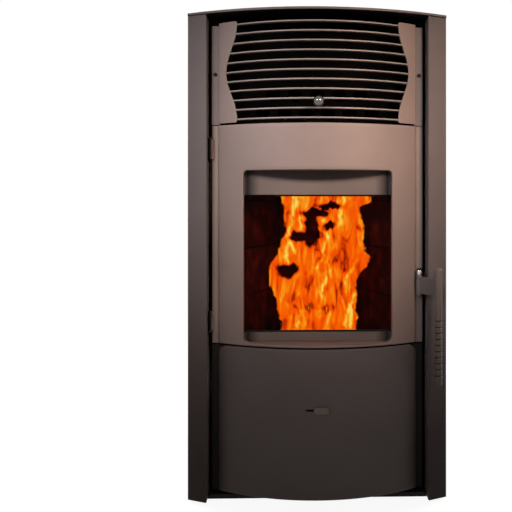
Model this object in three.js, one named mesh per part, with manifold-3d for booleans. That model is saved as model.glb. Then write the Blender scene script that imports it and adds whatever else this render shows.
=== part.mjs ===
// Pellet stove, built as an assembly of separate pieces.
// Millimetres, +X to the right, +Y to the back, +Z up. The pieces are drawn with y = 0 at the
// front middle of the top plate, and the finished stove is then centred over its origin.

import * as THREE from 'three';
import { mergeVertices } from 'three/addons/utils/BufferGeometryUtils.js';
import Module from 'manifold-3d';

const wasm = await Module();
wasm.setup();

// ---------------------------------------------------------------- driving dimensions

const fit = 0.3; // gap between pieces that touch
const sheet = 2; // casing sheet metal
const plate = 3; // welded firebox plate

const casingWidth = 530;
const casingDepth = 540;
const topPlateThickness = 5;
const topBowRadius = 615; // front edge of the top plate
const topOverhang = 2; // top plate beyond the columns
const columnWidth = 40;
const columnLipReach = 16; // column lip behind the backing plates
const columnReturn = 19.4; // outer side of the column behind its front corner
const columnCorner = 3;
const flangeWidth = 15;
const plinthBottom = 5;
const footHeight = 12;
const footRadius = 15;
const footInset = 40;
const footClearance = 18; // column lip to the middle of the front feet
const footRear = 50; // rear feet ahead of the top plate's back

const frontBowRadius = 370;
const frontSetback = 8;
const frontSheet = 2.5;
const edgeReturn = 3.6;
const sideGap = 8; // column to the flat plates that carry the bowed fronts
const backingFlange = 14; // flat plates beyond the bowed fronts
const backingThickness = 3.7;

const drawerFrontBottom = 22;
const drawerFrontHeight = 298;
const drawerCorner = 19;
const seam = 3;
const doorHeight = 446;
const louvreSeam = 4;
const louvreHeight = 205;
const louvreTopGap = 13;

const doorStile = 53; // door face beside the window
const windowSill = 5; // door bottom to window
const windowHeight = 347.5;
const windowTopCorner = 8;
const windowBottomCorner = 14;
const innerFrameDepth = 17; // inner frame's face in front of the backing plate
const glassInset = 8; // visible glass beyond the window's edge
const rimSide = 13;
const rimRise = 62;
const windowReturn = 20;
const glassSill = 24;
const glassHeight = 280;
const glassOverlap = 7;
const glassThickness = 4;
const retainerThickness = 2;
const gasketThickness = 9.4;
const gasketWidth = 9;

const barCount = 11;
const barHeight = 3.6;
const barDepth = 11;
const barTopInset = 6.7;
const barPitch = 19.2;
const grilleInset = 1; // grille inside the door's bowed front
const cheekWaist = 18;
const cheekMouth = 42;
const stripInset = 3;
const stripDrop = 3.2;
const stripTopInset = 5;
const grilleScrewRadius = 4;

const rearBay = 206; // fuel feed and blowers, between the firebox and the rear panel
const fireboxFloorDrop = 23; // firebox floor below the door's lower edge
const fireboxTopDrop = 4;
const fireboxFlangeInset = 20;
const throatInset = 30; // ash slot and smoke opening inside the lining
const throatFront = 84;
const throatBack = 30;
const linerThickness = 25;
const linerHeight = 337;
const linerInset = 2; // lining beyond the visible glass
const linerBackHalf = 86;
const linerBackGap = 8;
const brickHeight = 101.5;
const brickGroove = 3;
const potHalfWidth = 80;
const potDepth = 120;
const potHeight = 44;
const potWall = 4;
const potShift = 7; // pot behind the middle of the fire space
const potTaper = 12; // pot narrower at its floor, at each side

const tubeRadius = 17;
const tubeWall = 2;
const tubePitch = 46;
const upperTubeCount = 5;
const lowerTubeCount = 6;
const upperTubeRise = 73;
const lowerTubeRise = 35;
const exchangerHeight = 112;
const outletDepth = 32;

const knobRadius = 11.2;
const rodRadius = 4;
const scraperHeight = 84;
const scraperRise = 12;
const scraperMargin = 30;

const handleRadius = 7.5;
const handleLength = 236;
const handleGrooveCount = 10;
const handleGroovePitch = 12;
const handleGrooveDepth = 0.9;
const handleBracketHeight = 34;
const handleBracketRise = 102; // door bottom to the bracket
const handleBelowBracket = 180;
const knuckleRadius = 6;
const handlePinRadius = 3;
const handlePlateGap = 12.3; // backing plate to the pivot's axis
const handleColumnGap = 15.4; // column's face to the pivot's axis, so that the arm clears the column
const handleReachX = 29.7;
const handleReachY = 48;

const hingeKnuckleRadius = 5;
const hingePinRadius = 2.5;
const hingeKnuckleHeight = 40;
const hingeGap = 6; // column to the hinge's axis
const lowerHingeRise = 27;
const upperHingeDrop = 69;

const drawerBoxInset = 38; // box inside the bowed front's edge
const drawerBoxLength = 254;
const drawerBoxHeight = 100;
const drawerFloorZ = 30;
const runnerLip = 15;
const latchTabWidth = 30;
const latchTabHeight = 14;
const latchSlotHeight = 4;
const latchTravel = 15;
const latchHeightOnFront = 178;
const latchOffset = 6;

const hopperLeft = -190;
const hopperRight = 110;
const hopperGap = 10; // firebox to hopper
const hopperRearGap = 16;
const hopperStraight = 140; // straight upper part, measured down from the top plate
const funnelHeight = 185;
const neckHalfWidth = 28;
const neckDepth = 50;
const neckToAugerEnd = 19;
const hatchLip = 5;
const gasketLip = 8;
const lidThickness = 3;
const lidHingeGap = 6;
const lidKnuckleRadius = 4;

const augerReach = 151; // firebox back to the auger's low end
const augerEndZ = 563;
const augerLength = 201;
const augerTilt = Math.atan(3 / 4);
const augerTubeRadius = 30;
const augerTubeWall = 3;
const augerScrewRadius = 25;
const augerShaftRadius = 8;
const augerPitch = 40;
const augerFlight = 3; // flight thickness
const augerFlightStart = 14;
const augerMotorRadius = 25;
const augerMotorLength = 40;

const flueToDuct = 54; // flue's axis to the duct's outer side
const flueZ = 255;
const flueRadius = 40;
const flueWall = 2;
const flueProtrusion = 60; // behind the top plate
const blowerRadius = 70;
const blowerDepth = 55;
const blowerGap = 35; // firebox back to the blower's front wall
const impellerRadius = 60;
const impellerHub = 11;
const fanShaftRadius = 4;
const airInletX = -110;
const airInletZ = 345;
const airInletRadius = 25;
const airInletProtrusion = 35;
const ductWidth = 34;
const ductInset = 1;
const smokeOutletRise = 20;
const smokeOutletHeight = 75;
const ductMargin = 5;

const roomFanX = -90;
const roomFanGap = 91; // rear panel to the room fan's axis
const roomFanZ = 68;
const roomFanRadius = 38;
const roomFanLength = 190;
const roomFanBladeCount = 10;
const roomFanEndGap = 5;
const roomFanCasing = 48; // axis to the casing's front and back
const roomFanCasingRise = 52;
const roomFanMotorRadius = 24;
const roomFanMotorLength = 40;

const ventWidth = 90;
const ventHeight = 6;
const ventGap = 30;
const ventPitch = 18;
const ventRows = 6;
const lowerVentX = -90;
const lowerVentZ = 80;
const upperVentX = 30;
const upperVentZ = 700;

const socketEdge = 65; // socket's middle from the casing's side
const socketZ = 72;
const socketWidth = 30;
const socketHeight = 24;
const socketDepth = 36;
const socketWall = 3;
const socketFlange = 6;
const socketPinPitch = 8;

const controlEdge = 70; // control panel's middle from the casing's side
const controlSetback = 55; // and behind the hopper's front
const controlWidth = 84;
const controlDepth = 124;
const controlDrop = 30;
const bezelHeight = 3;
const buttonRadius = 6;
const buttonTravel = 1.5;
const buttonCount = 3;
const buttonPitch = 22;

// ---------------------------------------------------------------- levels worked out from them

const halfWidth = casingWidth / 2;
const columnInner = halfWidth - columnWidth;
const backingHalfWidth = columnInner - sideGap;
const frontHalfWidth = backingHalfWidth - backingFlange;
const grilleHalfWidth = frontHalfWidth - grilleInset;
const stripOuter = backingHalfWidth - stripInset;
const fireboxFlangeHalf = columnInner - fireboxFlangeInset;
const windowHalfWidth = frontHalfWidth - doorStile;
const glassHalfWidth = windowHalfWidth + glassInset;
const linerFrontHalf = glassHalfWidth + linerInset;
const fireboxHalfWidth = linerFrontHalf + linerThickness;
const throatHalf = linerFrontHalf - throatInset;
const drawerBoxHalf = frontHalfWidth - drawerBoxInset;
const ductRight = fireboxHalfWidth - ductInset;
const ductLeft = ductRight - ductWidth;
const flueX = ductRight - flueToDuct;
const socketX = socketEdge - halfWidth;
const augerRise = Math.sin(augerTilt);
const augerRun = Math.cos(augerTilt);
const drawerTop = drawerFrontBottom + drawerFrontHeight;
const doorBottom = drawerTop + seam;
const doorTop = doorBottom + doorHeight;
const louvreBottom = doorTop + louvreSeam;
const louvreTop = louvreBottom + louvreHeight;
const topPlateBottom = louvreTop + louvreTopGap;
const topPlateTop = topPlateBottom + topPlateThickness;

const bowY = (x) => frontSetback + frontBowRadius - Math.sqrt(frontBowRadius ** 2 - x ** 2);
const topFrontY = (x) => topBowRadius - Math.sqrt(topBowRadius ** 2 - x ** 2);
const backingFront = bowY(frontHalfWidth) + edgeReturn;
const backingBack = backingFront + backingThickness;
const innerFrameFront = backingFront - innerFrameDepth;
const glassFront = innerFrameFront + plate + fit;
const glassBack = glassFront + glassThickness;
const glassBottom = doorBottom + glassSill;
const glassTop = glassBottom + glassHeight;
const fireboxFront = backingBack + gasketThickness + 2 * fit;
const rearInner = casingDepth - topOverhang - sheet;
const fireboxBack = rearInner - rearBay;
const fireboxBottom = doorBottom - fireboxFloorDrop;
const fireboxTop = doorTop - fireboxTopDrop;
const hingeX = -(columnInner - hingeGap);
const hingeY = backingFront - hingeKnuckleRadius - 1.3;
const handleX = backingHalfWidth - 8;
const columnFace = topFrontY(columnInner) + topOverhang;
const handleY = Math.min(backingFront - handlePlateGap, columnFace + handleColumnGap);
const gripX = handleX + handleReachX;
const gripY = handleY - handleReachY;
const bracketBottom = doorBottom + handleBracketRise;
const bracketTop = bracketBottom + handleBracketHeight;
const rodZ = louvreTop - barTopInset - 8.5 * barPitch;
const exchangerBottom = fireboxTop + fit;
const exchangerTop = exchangerBottom + exchangerHeight;
const outletBack = backingFront + fit + outletDepth;
const columnReturnDepth = topFrontY(halfWidth - columnCorner) + topOverhang + columnReturn;
const columnLipDepth = backingBack + columnLipReach;
const linerBack = fireboxBack - linerBackGap - linerThickness;
const potFront = (fireboxFront + plate + linerBack - potDepth) / 2 + potShift;
const potBack = potFront + potDepth;
const hopperFront = fireboxBack + hopperGap;
const hopperBack = rearInner - hopperRearGap;
const augerEndY = fireboxBack + augerReach;
const neckBack = augerEndY - neckToAugerEnd;
const neckFront = neckBack - neckDepth;
const flueEnd = casingDepth + flueProtrusion;
const airInletEnd = casingDepth + airInletProtrusion;
const roomFanY = rearInner - roomFanGap;
const controlX = halfWidth - controlEdge;
const controlY = hopperFront + controlSetback;
const smokeOutletBottom = exchangerBottom + smokeOutletRise;
const smokeOutletTop = smokeOutletBottom + smokeOutletHeight;
const beyond = casingDepth + topPlateTop; // cuts that pass right through

// ---------------------------------------------------------------- finishes

const finish = (color, roughness, metalness) => new THREE.MeshStandardMaterial({ color, roughness, metalness });
const bronze = finish(0x8a7060, 0.5, 0.7);
const darkBronze = finish(0x45393a, 0.55, 0.6);
const blackSteel = finish(0x1c1b1b, 0.6, 0.5);
const stoveSteel = finish(0x3a3836, 0.7, 0.6);
const brick = finish(0x6e4638, 0.95, 0);
const chrome = finish(0xd8d8d8, 0.15, 1);
const zinc = finish(0x9a9c9e, 0.45, 0.9);
const gripFinish = finish(0x5a5350, 0.45, 0.5);
const ropeFinish = finish(0x55524e, 1, 0);
const blackPlastic = finish(0x171718, 0.5, 0);
const glass = new THREE.MeshStandardMaterial({
  color: 0x2a2522, roughness: 0.05, metalness: 0, transparent: true, opacity: 0.35,
});

// ---------------------------------------------------------------- making solids

// A closed geometry as a solid, with its vertices merged and its empty triangles dropped.
function solidOf(geometry) {
  const bare = geometry.clone();
  bare.deleteAttribute('normal');
  bare.deleteAttribute('uv');
  const merged = mergeVertices(bare, 1e-4);
  const triVerts = [];
  const index = merged.index.array;
  for (let i = 0; i < index.length; i += 3) {
    const [a, b, c] = [index[i], index[i + 1], index[i + 2]];
    if (a !== b && b !== c && c !== a) triVerts.push(a, b, c);
  }
  const vertProperties = Float32Array.from(merged.attributes.position.array);
  return new wasm.Manifold(new wasm.Mesh({ numProp: 3, vertProperties, triVerts: Uint32Array.from(triVerts) }));
}

function geometryOf(solid) {
  const mesh = solid.getMesh();
  const geometry = new THREE.BufferGeometry();
  geometry.setAttribute('position', new THREE.BufferAttribute(Float32Array.from(mesh.vertProperties), 3));
  geometry.setIndex(new THREE.BufferAttribute(Uint32Array.from(mesh.triVerts), 1));
  geometry.computeVertexNormals();
  return geometry;
}

const join = (solids) => solids.reduce((whole, next) => whole.add(next));
const cut = (solid, tools) => tools.reduce((rest, tool) => rest.subtract(tool), solid);

const around = (middle, half) => [middle - half, middle + half];

// A box between two corners.
function block(x0, x1, y0, y1, z0, z1) {
  const box = new THREE.BoxGeometry(x1 - x0, y1 - y0, z1 - z0);
  return solidOf(box.translate((x0 + x1) / 2, (y0 + y1) / 2, (z0 + z1) / 2));
}

// A round bar from one point to another.
function rod(radius, from, to, sides = 16, endRadius = radius) {
  const start = new THREE.Vector3(...from);
  const along = new THREE.Vector3(...to).sub(start);
  const bar = new THREE.CylinderGeometry(endRadius, radius, along.length(), sides);
  bar.translate(0, along.length() / 2, 0);
  bar.applyQuaternion(new THREE.Quaternion().setFromUnitVectors(new THREE.Vector3(0, 1, 0), along.normalize()));
  return solidOf(bar.translate(start.x, start.y, start.z));
}

// A profile of [radius, height] points turned about the direction that starts at a point.
function turned(profile, at, direction, sides = 20) {
  const lathe = new THREE.LatheGeometry(profile.map(([r, h]) => new THREE.Vector2(r, h)), sides);
  const axis = new THREE.Vector3(...direction).normalize();
  lathe.applyQuaternion(new THREE.Quaternion().setFromUnitVectors(new THREE.Vector3(0, 1, 0), axis));
  return solidOf(lathe.translate(...at));
}

// An outline pushed along one axis. The outline's points are [x, y], [x, z] or [y, z].
const axesOf = {
  z: [[1, 0, 0], [0, 1, 0], [0, 0, 1]],
  y: [[1, 0, 0], [0, 0, 1], [0, -1, 0]],
  x: [[0, 1, 0], [0, 0, 1], [1, 0, 0]],
};

function prism(axis, points, low, high) {
  const outline = new THREE.Shape(points.map(([a, b]) => new THREE.Vector2(a, b)));
  const body = new THREE.ExtrudeGeometry(outline, { depth: high - low, bevelEnabled: false });
  const [across, up, along] = axesOf[axis].map((v) => new THREE.Vector3(...v));
  body.applyMatrix4(new THREE.Matrix4().makeBasis(across, up, along));
  const start = axis === 'y' ? high : low;
  body.translate(axis === 'x' ? start : 0, axis === 'y' ? start : 0, axis === 'z' ? start : 0);
  return solidOf(body);
}

// Points of an arc, angles in degrees.
function arc(x, y, radius, from, to, steps) {
  const points = [];
  for (let i = 0; i <= steps; i++) {
    const angle = THREE.MathUtils.degToRad(from + ((to - from) * i) / steps);
    points.push([x + radius * Math.cos(angle), y + radius * Math.sin(angle)]);
  }
  return points;
}

// A rectangle with its lower and upper corners rounded.
function roundedOutline(x0, x1, z0, z1, lower, upper, steps = 4) {
  return [
    ...arc(x0 + lower, z0 + lower, lower, 180, 270, steps),
    ...arc(x1 - lower, z0 + lower, lower, 270, 360, steps),
    ...arc(x1 - upper, z1 - upper, upper, 0, 90, steps),
    ...arc(x0 + upper, z1 - upper, upper, 90, 180, steps),
  ];
}

// A sheet bent to the front bow, its front face inset behind the bowed fronts' face.
function bowedSheet(halfSpan, z0, z1, inset, thickness, steps = 14) {
  const centreY = frontSetback + frontBowRadius;
  const edge = (radius, x) => [x, centreY - Math.sqrt(radius ** 2 - x ** 2)];
  const stations = Array.from({ length: steps + 1 }, (_, i) => -halfSpan + (2 * halfSpan * i) / steps);
  const front = stations.map((x) => edge(frontBowRadius - inset, x));
  const back = stations.map((x) => edge(frontBowRadius - inset - thickness, x)).reverse();
  return prism('z', [...front, ...back], z0, z1);
}

// A rectangular ring in the plane of the door, between two depths.
function frameRing(outer, inner, y0, y1) {
  const [ox0, ox1, oz0, oz1] = outer;
  const [ix0, ix1, iz0, iz1] = inner;
  return block(ox0, ox1, y0, y1, oz0, oz1).subtract(block(ix0, ix1, y0 - 1, y1 + 1, iz0, iz1));
}

// A four-sided funnel between two level rectangles.
function loft([ax0, ax1, ay0, ay1], az, [bx0, bx1, by0, by1], bz) {
  const corners = [
    ax0, ay0, az, ax1, ay0, az, ax1, ay1, az, ax0, ay1, az,
    bx0, by0, bz, bx1, by0, bz, bx1, by1, bz, bx0, by1, bz,
  ];
  const faces = [0, 2, 1, 0, 3, 2, 4, 5, 6, 4, 6, 7];
  for (let i = 0; i < 4; i++) {
    const next = (i + 1) % 4;
    faces.push(i, next, next + 4, i, next + 4, i + 4);
  }
  const geometry = new THREE.BufferGeometry();
  geometry.setAttribute('position', new THREE.Float32BufferAttribute(corners, 3));
  geometry.setIndex(faces);
  return solidOf(geometry);
}

// ---------------------------------------------------------------- the stove and its moving groups

const stove = new THREE.Group();
const door = new THREE.Group();
const handle = new THREE.Group();
const drawer = new THREE.Group();
const lid = new THREE.Group();
const scraper = new THREE.Group();
stove.add(door, drawer, lid, scraper);
door.add(handle);

function add(group, name, solid, material) {
  const mesh = new THREE.Mesh(geometryOf(solid), material);
  mesh.name = name;
  group.add(mesh);
  return mesh;
}

const sides = [['left', -1], ['right', 1]];
const mirrored = (solid, side) => (side < 0 ? solid.mirror([1, 0, 0]) : solid);

// ---------------------------------------------------------------- casing

function addFeet() {
  const rows = [['front', columnLipDepth + footClearance], ['rear', casingDepth - footRear]];
  for (const [row, y] of rows) {
    for (const [side, sign] of sides) {
      const foot = rod(footRadius - 2, [0, 0, 0], [0, 0, footHeight - fit], 20, footRadius);
      add(stove, `foot_${row}_${side}`, foot, blackPlastic).position.set(sign * (halfWidth - footInset), y, 0);
    }
  }
}

function basePan() {
  const panHalf = halfWidth - sheet - fit;
  const frontHalf = columnInner - fit;
  const plinthY = backingFront - 6.3;
  const top = footHeight + sheet;
  const floor = [
    block(-panHalf, panHalf, columnLipDepth + fit, rearInner - sheet - fit, footHeight, top),
    block(-frontHalf, frontHalf, plinthY, columnLipDepth + 1, footHeight, top),
    block(-frontHalf, frontHalf, plinthY, plinthY + sheet, plinthBottom, top),
  ];
  const wallX = drawerBoxHalf + fit;
  const shelfZ = drawerFloorZ - fit;
  const runner = [
    [wallX, top - 0.5], [wallX + sheet, top - 0.5], [wallX + sheet, shelfZ + 20], [wallX, shelfZ + 20],
    [wallX, shelfZ], [wallX - runnerLip, shelfZ], [wallX - runnerLip, shelfZ - sheet], [wallX, shelfZ - sheet],
  ];
  const runnerBack = backingBack + drawerBoxLength + 12;
  const rail = prism('y', runner, columnLipDepth + fit, runnerBack);
  return join([...floor, rail, rail.mirror([1, 0, 0])]);
}

function frontColumn() {
  const face = (x) => topFrontY(x) + topOverhang;
  const inner = columnInner;
  const outer = halfWidth;
  const bend = outer - columnCorner;
  const stations = [0, 0.25, 0.5, 0.75, 1].map((t) => inner + (bend - inner) * t);
  const skin = stations.map((x) => [x, face(x)]);
  const back = stations.map((x) => [Math.max(inner + sheet, Math.min(x, outer - sheet - 1)), face(x) + sheet]);
  const outline = [
    [inner, columnLipDepth], ...skin, [outer - 0.8, face(bend) + 1], [outer, face(bend) + columnCorner],
    [outer, columnReturnDepth], [outer - flangeWidth, columnReturnDepth],
    [outer - flangeWidth, columnReturnDepth - sheet], [outer - sheet, columnReturnDepth - sheet],
    [outer - sheet, face(bend) + columnCorner + 0.4], ...back.reverse(), [inner + sheet, columnLipDepth],
  ];
  return prism('z', outline, plinthBottom, topPlateBottom - fit);
}

function sidePanel() {
  const front = columnReturnDepth + fit;
  const outline = [
    [halfWidth, front], [halfWidth, rearInner], [halfWidth - flangeWidth, rearInner],
    [halfWidth - flangeWidth, rearInner - sheet], [halfWidth - sheet, rearInner - sheet],
    [halfWidth - sheet, front + sheet], [halfWidth - flangeWidth, front + sheet], [halfWidth - flangeWidth, front],
  ];
  return prism('z', outline, plinthBottom, topPlateBottom - fit);
}

function rearPanel() {
  const y0 = rearInner + fit;
  const y1 = y0 + sheet;
  const through = (x0, x1, z0, z1) => block(x0, x1, y0 - 1, y1 + 1, z0, z1);
  const openings = [
    rod(flueRadius + fit, [flueX, y0 - 5, flueZ], [flueX, y1 + 5, flueZ], 24),
    rod(airInletRadius + fit, [airInletX, y0 - 5, airInletZ], [airInletX, y1 + 5, airInletZ], 20),
    through(...around(socketX, socketWidth / 2 + fit), ...around(socketZ, socketHeight / 2 + fit)),
  ];
  for (const [middle, bottom] of [[lowerVentX, lowerVentZ], [upperVentX, upperVentZ]]) {
    for (const side of [-1, 1]) {
      const x = middle + (side * (ventWidth + ventGap)) / 2;
      for (let row = 0; row < ventRows; row++) {
        const z = bottom + row * ventPitch;
        openings.push(through(...around(x, ventWidth / 2), z, z + ventHeight));
      }
    }
  }
  const edge = halfWidth - fit;
  return cut(block(-edge, edge, y0, y1, plinthBottom, topPlateBottom - fit), openings);
}

// Hatch over the hopper, shared by the top plate, its gasket and the lid.
const hatch = [hopperLeft + hatchLip, hopperRight - hatchLip, hopperFront + hatchLip, hopperBack - hatchLip];
const gasketTop = topPlateTop + 2 * fit + 1.6;
const lidBottom = gasketTop + fit;
const lidTop = lidBottom + lidThickness;
const lidBack = hatch[3] + gasketLip;
const lidAxisY = lidBack + lidHingeGap;
const lidAxisZ = lidBottom + lidKnuckleRadius;
const lidKnuckles = [hatch[0] + 35, hatch[1] - 35];

function topPlate() {
  const stations = Array.from({ length: 19 }, (_, i) => -halfWidth + (casingWidth * i) / 18);
  const front = stations.map((x) => [x, topFrontY(x)]);
  const outline = [...front, [halfWidth, casingDepth - 3], [halfWidth - 3, casingDepth],
    [-halfWidth + 3, casingDepth], [-halfWidth, casingDepth - 3]];
  const ears = lidKnuckles.flatMap((x) => [-18, 18].map((side) => {
    const middle = x + side;
    const ear = block(middle - 2.5, middle + 2.5, lidAxisY - 4, lidAxisY + 4, topPlateTop - 1, lidAxisZ + 4);
    return ear.subtract(rod(2 + fit, [middle - 5, lidAxisY, lidAxisZ], [middle + 5, lidAxisY, lidAxisZ], 12));
  }));
  const opening = block(...hatch, topPlateBottom - 1, topPlateTop + 1);
  const controlHole = block(...around(controlX, controlWidth / 2 + fit),
    ...around(controlY, controlDepth / 2 + fit), topPlateBottom - 1, topPlateTop + 1);
  const body = cut(prism('z', outline, topPlateBottom, topPlateTop), [opening, controlHole]);
  return join([body, ...ears]);
}

function louvreGrille() {
  const waist = grilleHalfWidth - cheekWaist;
  const mouth = grilleHalfWidth - cheekMouth;
  const cheek = [
    [grilleHalfWidth, louvreBottom], [grilleHalfWidth, louvreTop], [mouth + 3, louvreTop],
    [mouth, louvreTop - 4], [waist - 8, louvreBottom + louvreHeight * 0.64],
    [waist, louvreBottom + louvreHeight * 0.5], [waist - 8, louvreBottom + louvreHeight * 0.36],
    [mouth, louvreBottom + 4], [mouth + 3, louvreBottom],
  ];
  const skin = bowedSheet(grilleHalfWidth, louvreBottom, louvreTop, 0, frontSheet);
  const right = skin.intersect(prism('y', cheek.slice().reverse(), -beyond, beyond));
  const pieces = [right, right.mirror([1, 0, 0])];
  for (let i = 0; i < barCount; i++) {
    const z = louvreTop - barTopInset - i * barPitch;
    pieces.push(bowedSheet(grilleHalfWidth - 8, z - barHeight / 2, z + barHeight / 2, 1, barDepth, 12));
  }
  const strip = block(grilleHalfWidth - 2, stripOuter, backingFront - 3.4, backingFront - 0.4,
    louvreBottom - stripDrop, louvreTop - stripTopInset);
  pieces.push(strip, strip.mirror([1, 0, 0]));
  return join(pieces);
}

function grilleScrew() {
  const head = [[0, 0], [grilleScrewRadius, 0], [grilleScrewRadius, 1], [grilleScrewRadius * 0.6, 2.4], [0, 2.8]];
  return turned(head, [0, backingFront - 3.4 - fit, 0], [0, -1, 0], 16);
}

function outletBox() {
  const y0 = backingFront - 0.4 + fit;
  const bottom = louvreBottom - 2;
  const top = topPlateBottom - 3;
  return frameRing([-stripOuter, stripOuter, bottom, top],
    [-stripOuter + sheet, stripOuter - sheet, bottom + sheet, top - sheet], y0, outletBack - fit);
}

// ---------------------------------------------------------------- firebox and heat exchanger

const augerPoint = (t) => [0, augerEndY - augerRun * t, augerEndZ + augerRise * t];
const augerAxis = (radius, from, to, count = 20) => rod(radius, augerPoint(from), augerPoint(to), count);
const linerBottom = fireboxBottom + plate + fit;
const linerTop = linerBottom + linerHeight;
const igniterZ = linerBottom + 17;

function fireboxShell() {
  const x = fireboxHalfWidth;
  const mouth = linerFrontHalf + 4;
  const body = join([
    block(-x, x, fireboxFront, fireboxBack, fireboxBottom, fireboxTop),
    block(-fireboxFlangeHalf, fireboxFlangeHalf, fireboxFront, fireboxFront + plate, fireboxBottom, fireboxTop),
  ]);
  const inside = block(-x + plate, x - plate, fireboxFront + plate, fireboxBack - plate,
    fireboxBottom + plate, fireboxTop - plate);
  return cut(body, [
    inside,
    block(-mouth, mouth, fireboxFront - 1, fireboxFront + plate + 1, glassBottom - 9, glassTop + 13),
    block(...around(0, throatHalf), fireboxFront + 14, potFront - 8, fireboxBottom - 1, fireboxBottom + plate + 1),
    block(...around(0, throatHalf), fireboxFront + throatFront, fireboxBack - throatBack, fireboxTop - plate - 1, fireboxTop + 1),
    augerAxis(augerTubeRadius + fit, augerLength - 60, augerLength + 60),
    rod(airInletRadius - 2, [airInletX, fireboxBack - 9, airInletZ], [airInletX, fireboxBack + 9, airInletZ]),
    rod(5 + fit, [0, fireboxBack - 9, igniterZ], [0, fireboxBack + 9, igniterZ], 12),
  ]);
}

// Mortar joints run level round the fire at every course.
function brickCourses(solid, groove) {
  const joints = [];
  for (let z = linerTop - 24; z > linerBottom + 20; z -= brickHeight) {
    joints.push(groove(z - brickGroove / 2, z + brickGroove / 2));
  }
  return cut(solid, joints);
}

function backLiner() {
  const back = linerBack + linerThickness;
  const x = linerBackHalf - 2;
  const body = block(-x, x, linerBack, back, linerBottom, linerTop);
  const grooved = brickCourses(body, (z0, z1) => block(-x - 1, x + 1, linerBack - 1, linerBack + 3, z0, z1));
  return grooved.subtract(rod(6, [0, linerBack - 9, igniterZ], [0, back + 9, igniterZ], 12));
}

function sideLiner() {
  const front = fireboxFront + plate + fit;
  const slant = (shift) => [
    [linerFrontHalf + shift, front], [linerBackHalf + shift, linerBack + linerThickness],
  ];
  const [a, b] = slant(0);
  const outline = [a, [a[0] + 22, front], [b[0] + 24, b[1]], b];
  const body = prism('z', outline, linerBottom, linerTop);
  const [c, d] = slant(3);
  const face = [[a[0] - 9, front - 9], [c[0] + 3, front - 9], d, [b[0] - 9, b[1] + 9]];
  return brickCourses(body, (z0, z1) => prism('z', face, z0, z1));
}

function burnPot() {
  const top = linerBottom + potHeight;
  const rim = [...around(0, potHalfWidth), potFront, potBack];
  const inset = ([x0, x1, y0, y1], by) => [x0 + by, x1 - by, y0 + by, y1 - by];
  const outer = loft(inset(rim, potTaper), linerBottom, rim, top);
  const inner = loft(inset(rim, potTaper + potWall), linerBottom + potWall, inset(rim, potWall), top + 0.01);
  const holes = [];
  for (let column = -3; column <= 3; column++) {
    for (const y of [potFront + potDepth / 3, potBack - potDepth / 3]) {
      holes.push(rod(4, [column * 16, y, linerBottom - 1], [column * 16, y, linerBottom + potWall + 1], 8));
    }
  }
  const igniterHole = rod(6, [0, potBack - 20, igniterZ], [0, potBack + 2, igniterZ], 12);
  return cut(outer, [inner, igniterHole, ...holes]);
}

// Centres of the air tubes across the exchanger, [x, z].
const tubeCentres = [];
for (let i = 0; i < upperTubeCount; i++) {
  tubeCentres.push([(i - (upperTubeCount - 1) / 2) * tubePitch, exchangerBottom + upperTubeRise]);
}
for (let i = 0; i < lowerTubeCount; i++) {
  tubeCentres.push([(i - (lowerTubeCount - 1) / 2) * tubePitch, exchangerBottom + lowerTubeRise]);
}

function heatExchanger() {
  const x = fireboxHalfWidth;
  const shell = block(-x, x, outletBack, fireboxBack, exchangerBottom, exchangerTop).subtract(
    block(-x + plate, x - plate, outletBack + plate, fireboxBack - plate, exchangerBottom - 1, exchangerTop - plate));
  const face = block(-stripOuter + sheet, stripOuter - sheet, outletBack, outletBack + plate,
    louvreBottom, topPlateBottom - 6);
  const tubes = tubeCentres.map(([tx, tz]) => rod(tubeRadius, [tx, outletBack + 1, tz], [tx, fireboxBack - 1, tz], 14));
  const bores = tubeCentres.map(([tx, tz]) => rod(tubeRadius - tubeWall, [tx, outletBack - 9, tz],
    [tx, fireboxBack + 9, tz], 14));
  const rodHole = rod(rodRadius + fit, [0, outletBack - 9, rodZ], [0, outletBack + 9, rodZ], 12);
  const smokeOutlet = block(ductLeft + sheet, ductRight - sheet - plate, fireboxBack - plate - 1, fireboxBack + 1,
    smokeOutletBottom, smokeOutletTop);
  return cut(join([shell, face, ...tubes]), [...bores, rodHole, smokeOutlet]);
}

function exhaustDuct() {
  const y0 = fireboxBack + fit;
  const y1 = fireboxBack + blowerGap - fit;
  const bottom = flueZ - 30;
  const top = smokeOutletTop + ductMargin;
  const tube = block(ductLeft, ductRight, y0, y1, bottom, top).subtract(
    block(ductLeft + sheet, ductRight - sheet, y0 + sheet, y1 - sheet, bottom + sheet, top - sheet));
  return cut(tube, [
    block(ductLeft + sheet, ductRight - sheet - plate, y0 - 1, y0 + sheet + 1, smokeOutletBottom, smokeOutletTop),
    block(ductLeft + sheet, ductRight - sheet, y1 - sheet - 1, y1 + 1, flueZ - 20, flueZ + 20),
  ]);
}

// ---------------------------------------------------------------- fuel feed

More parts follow.
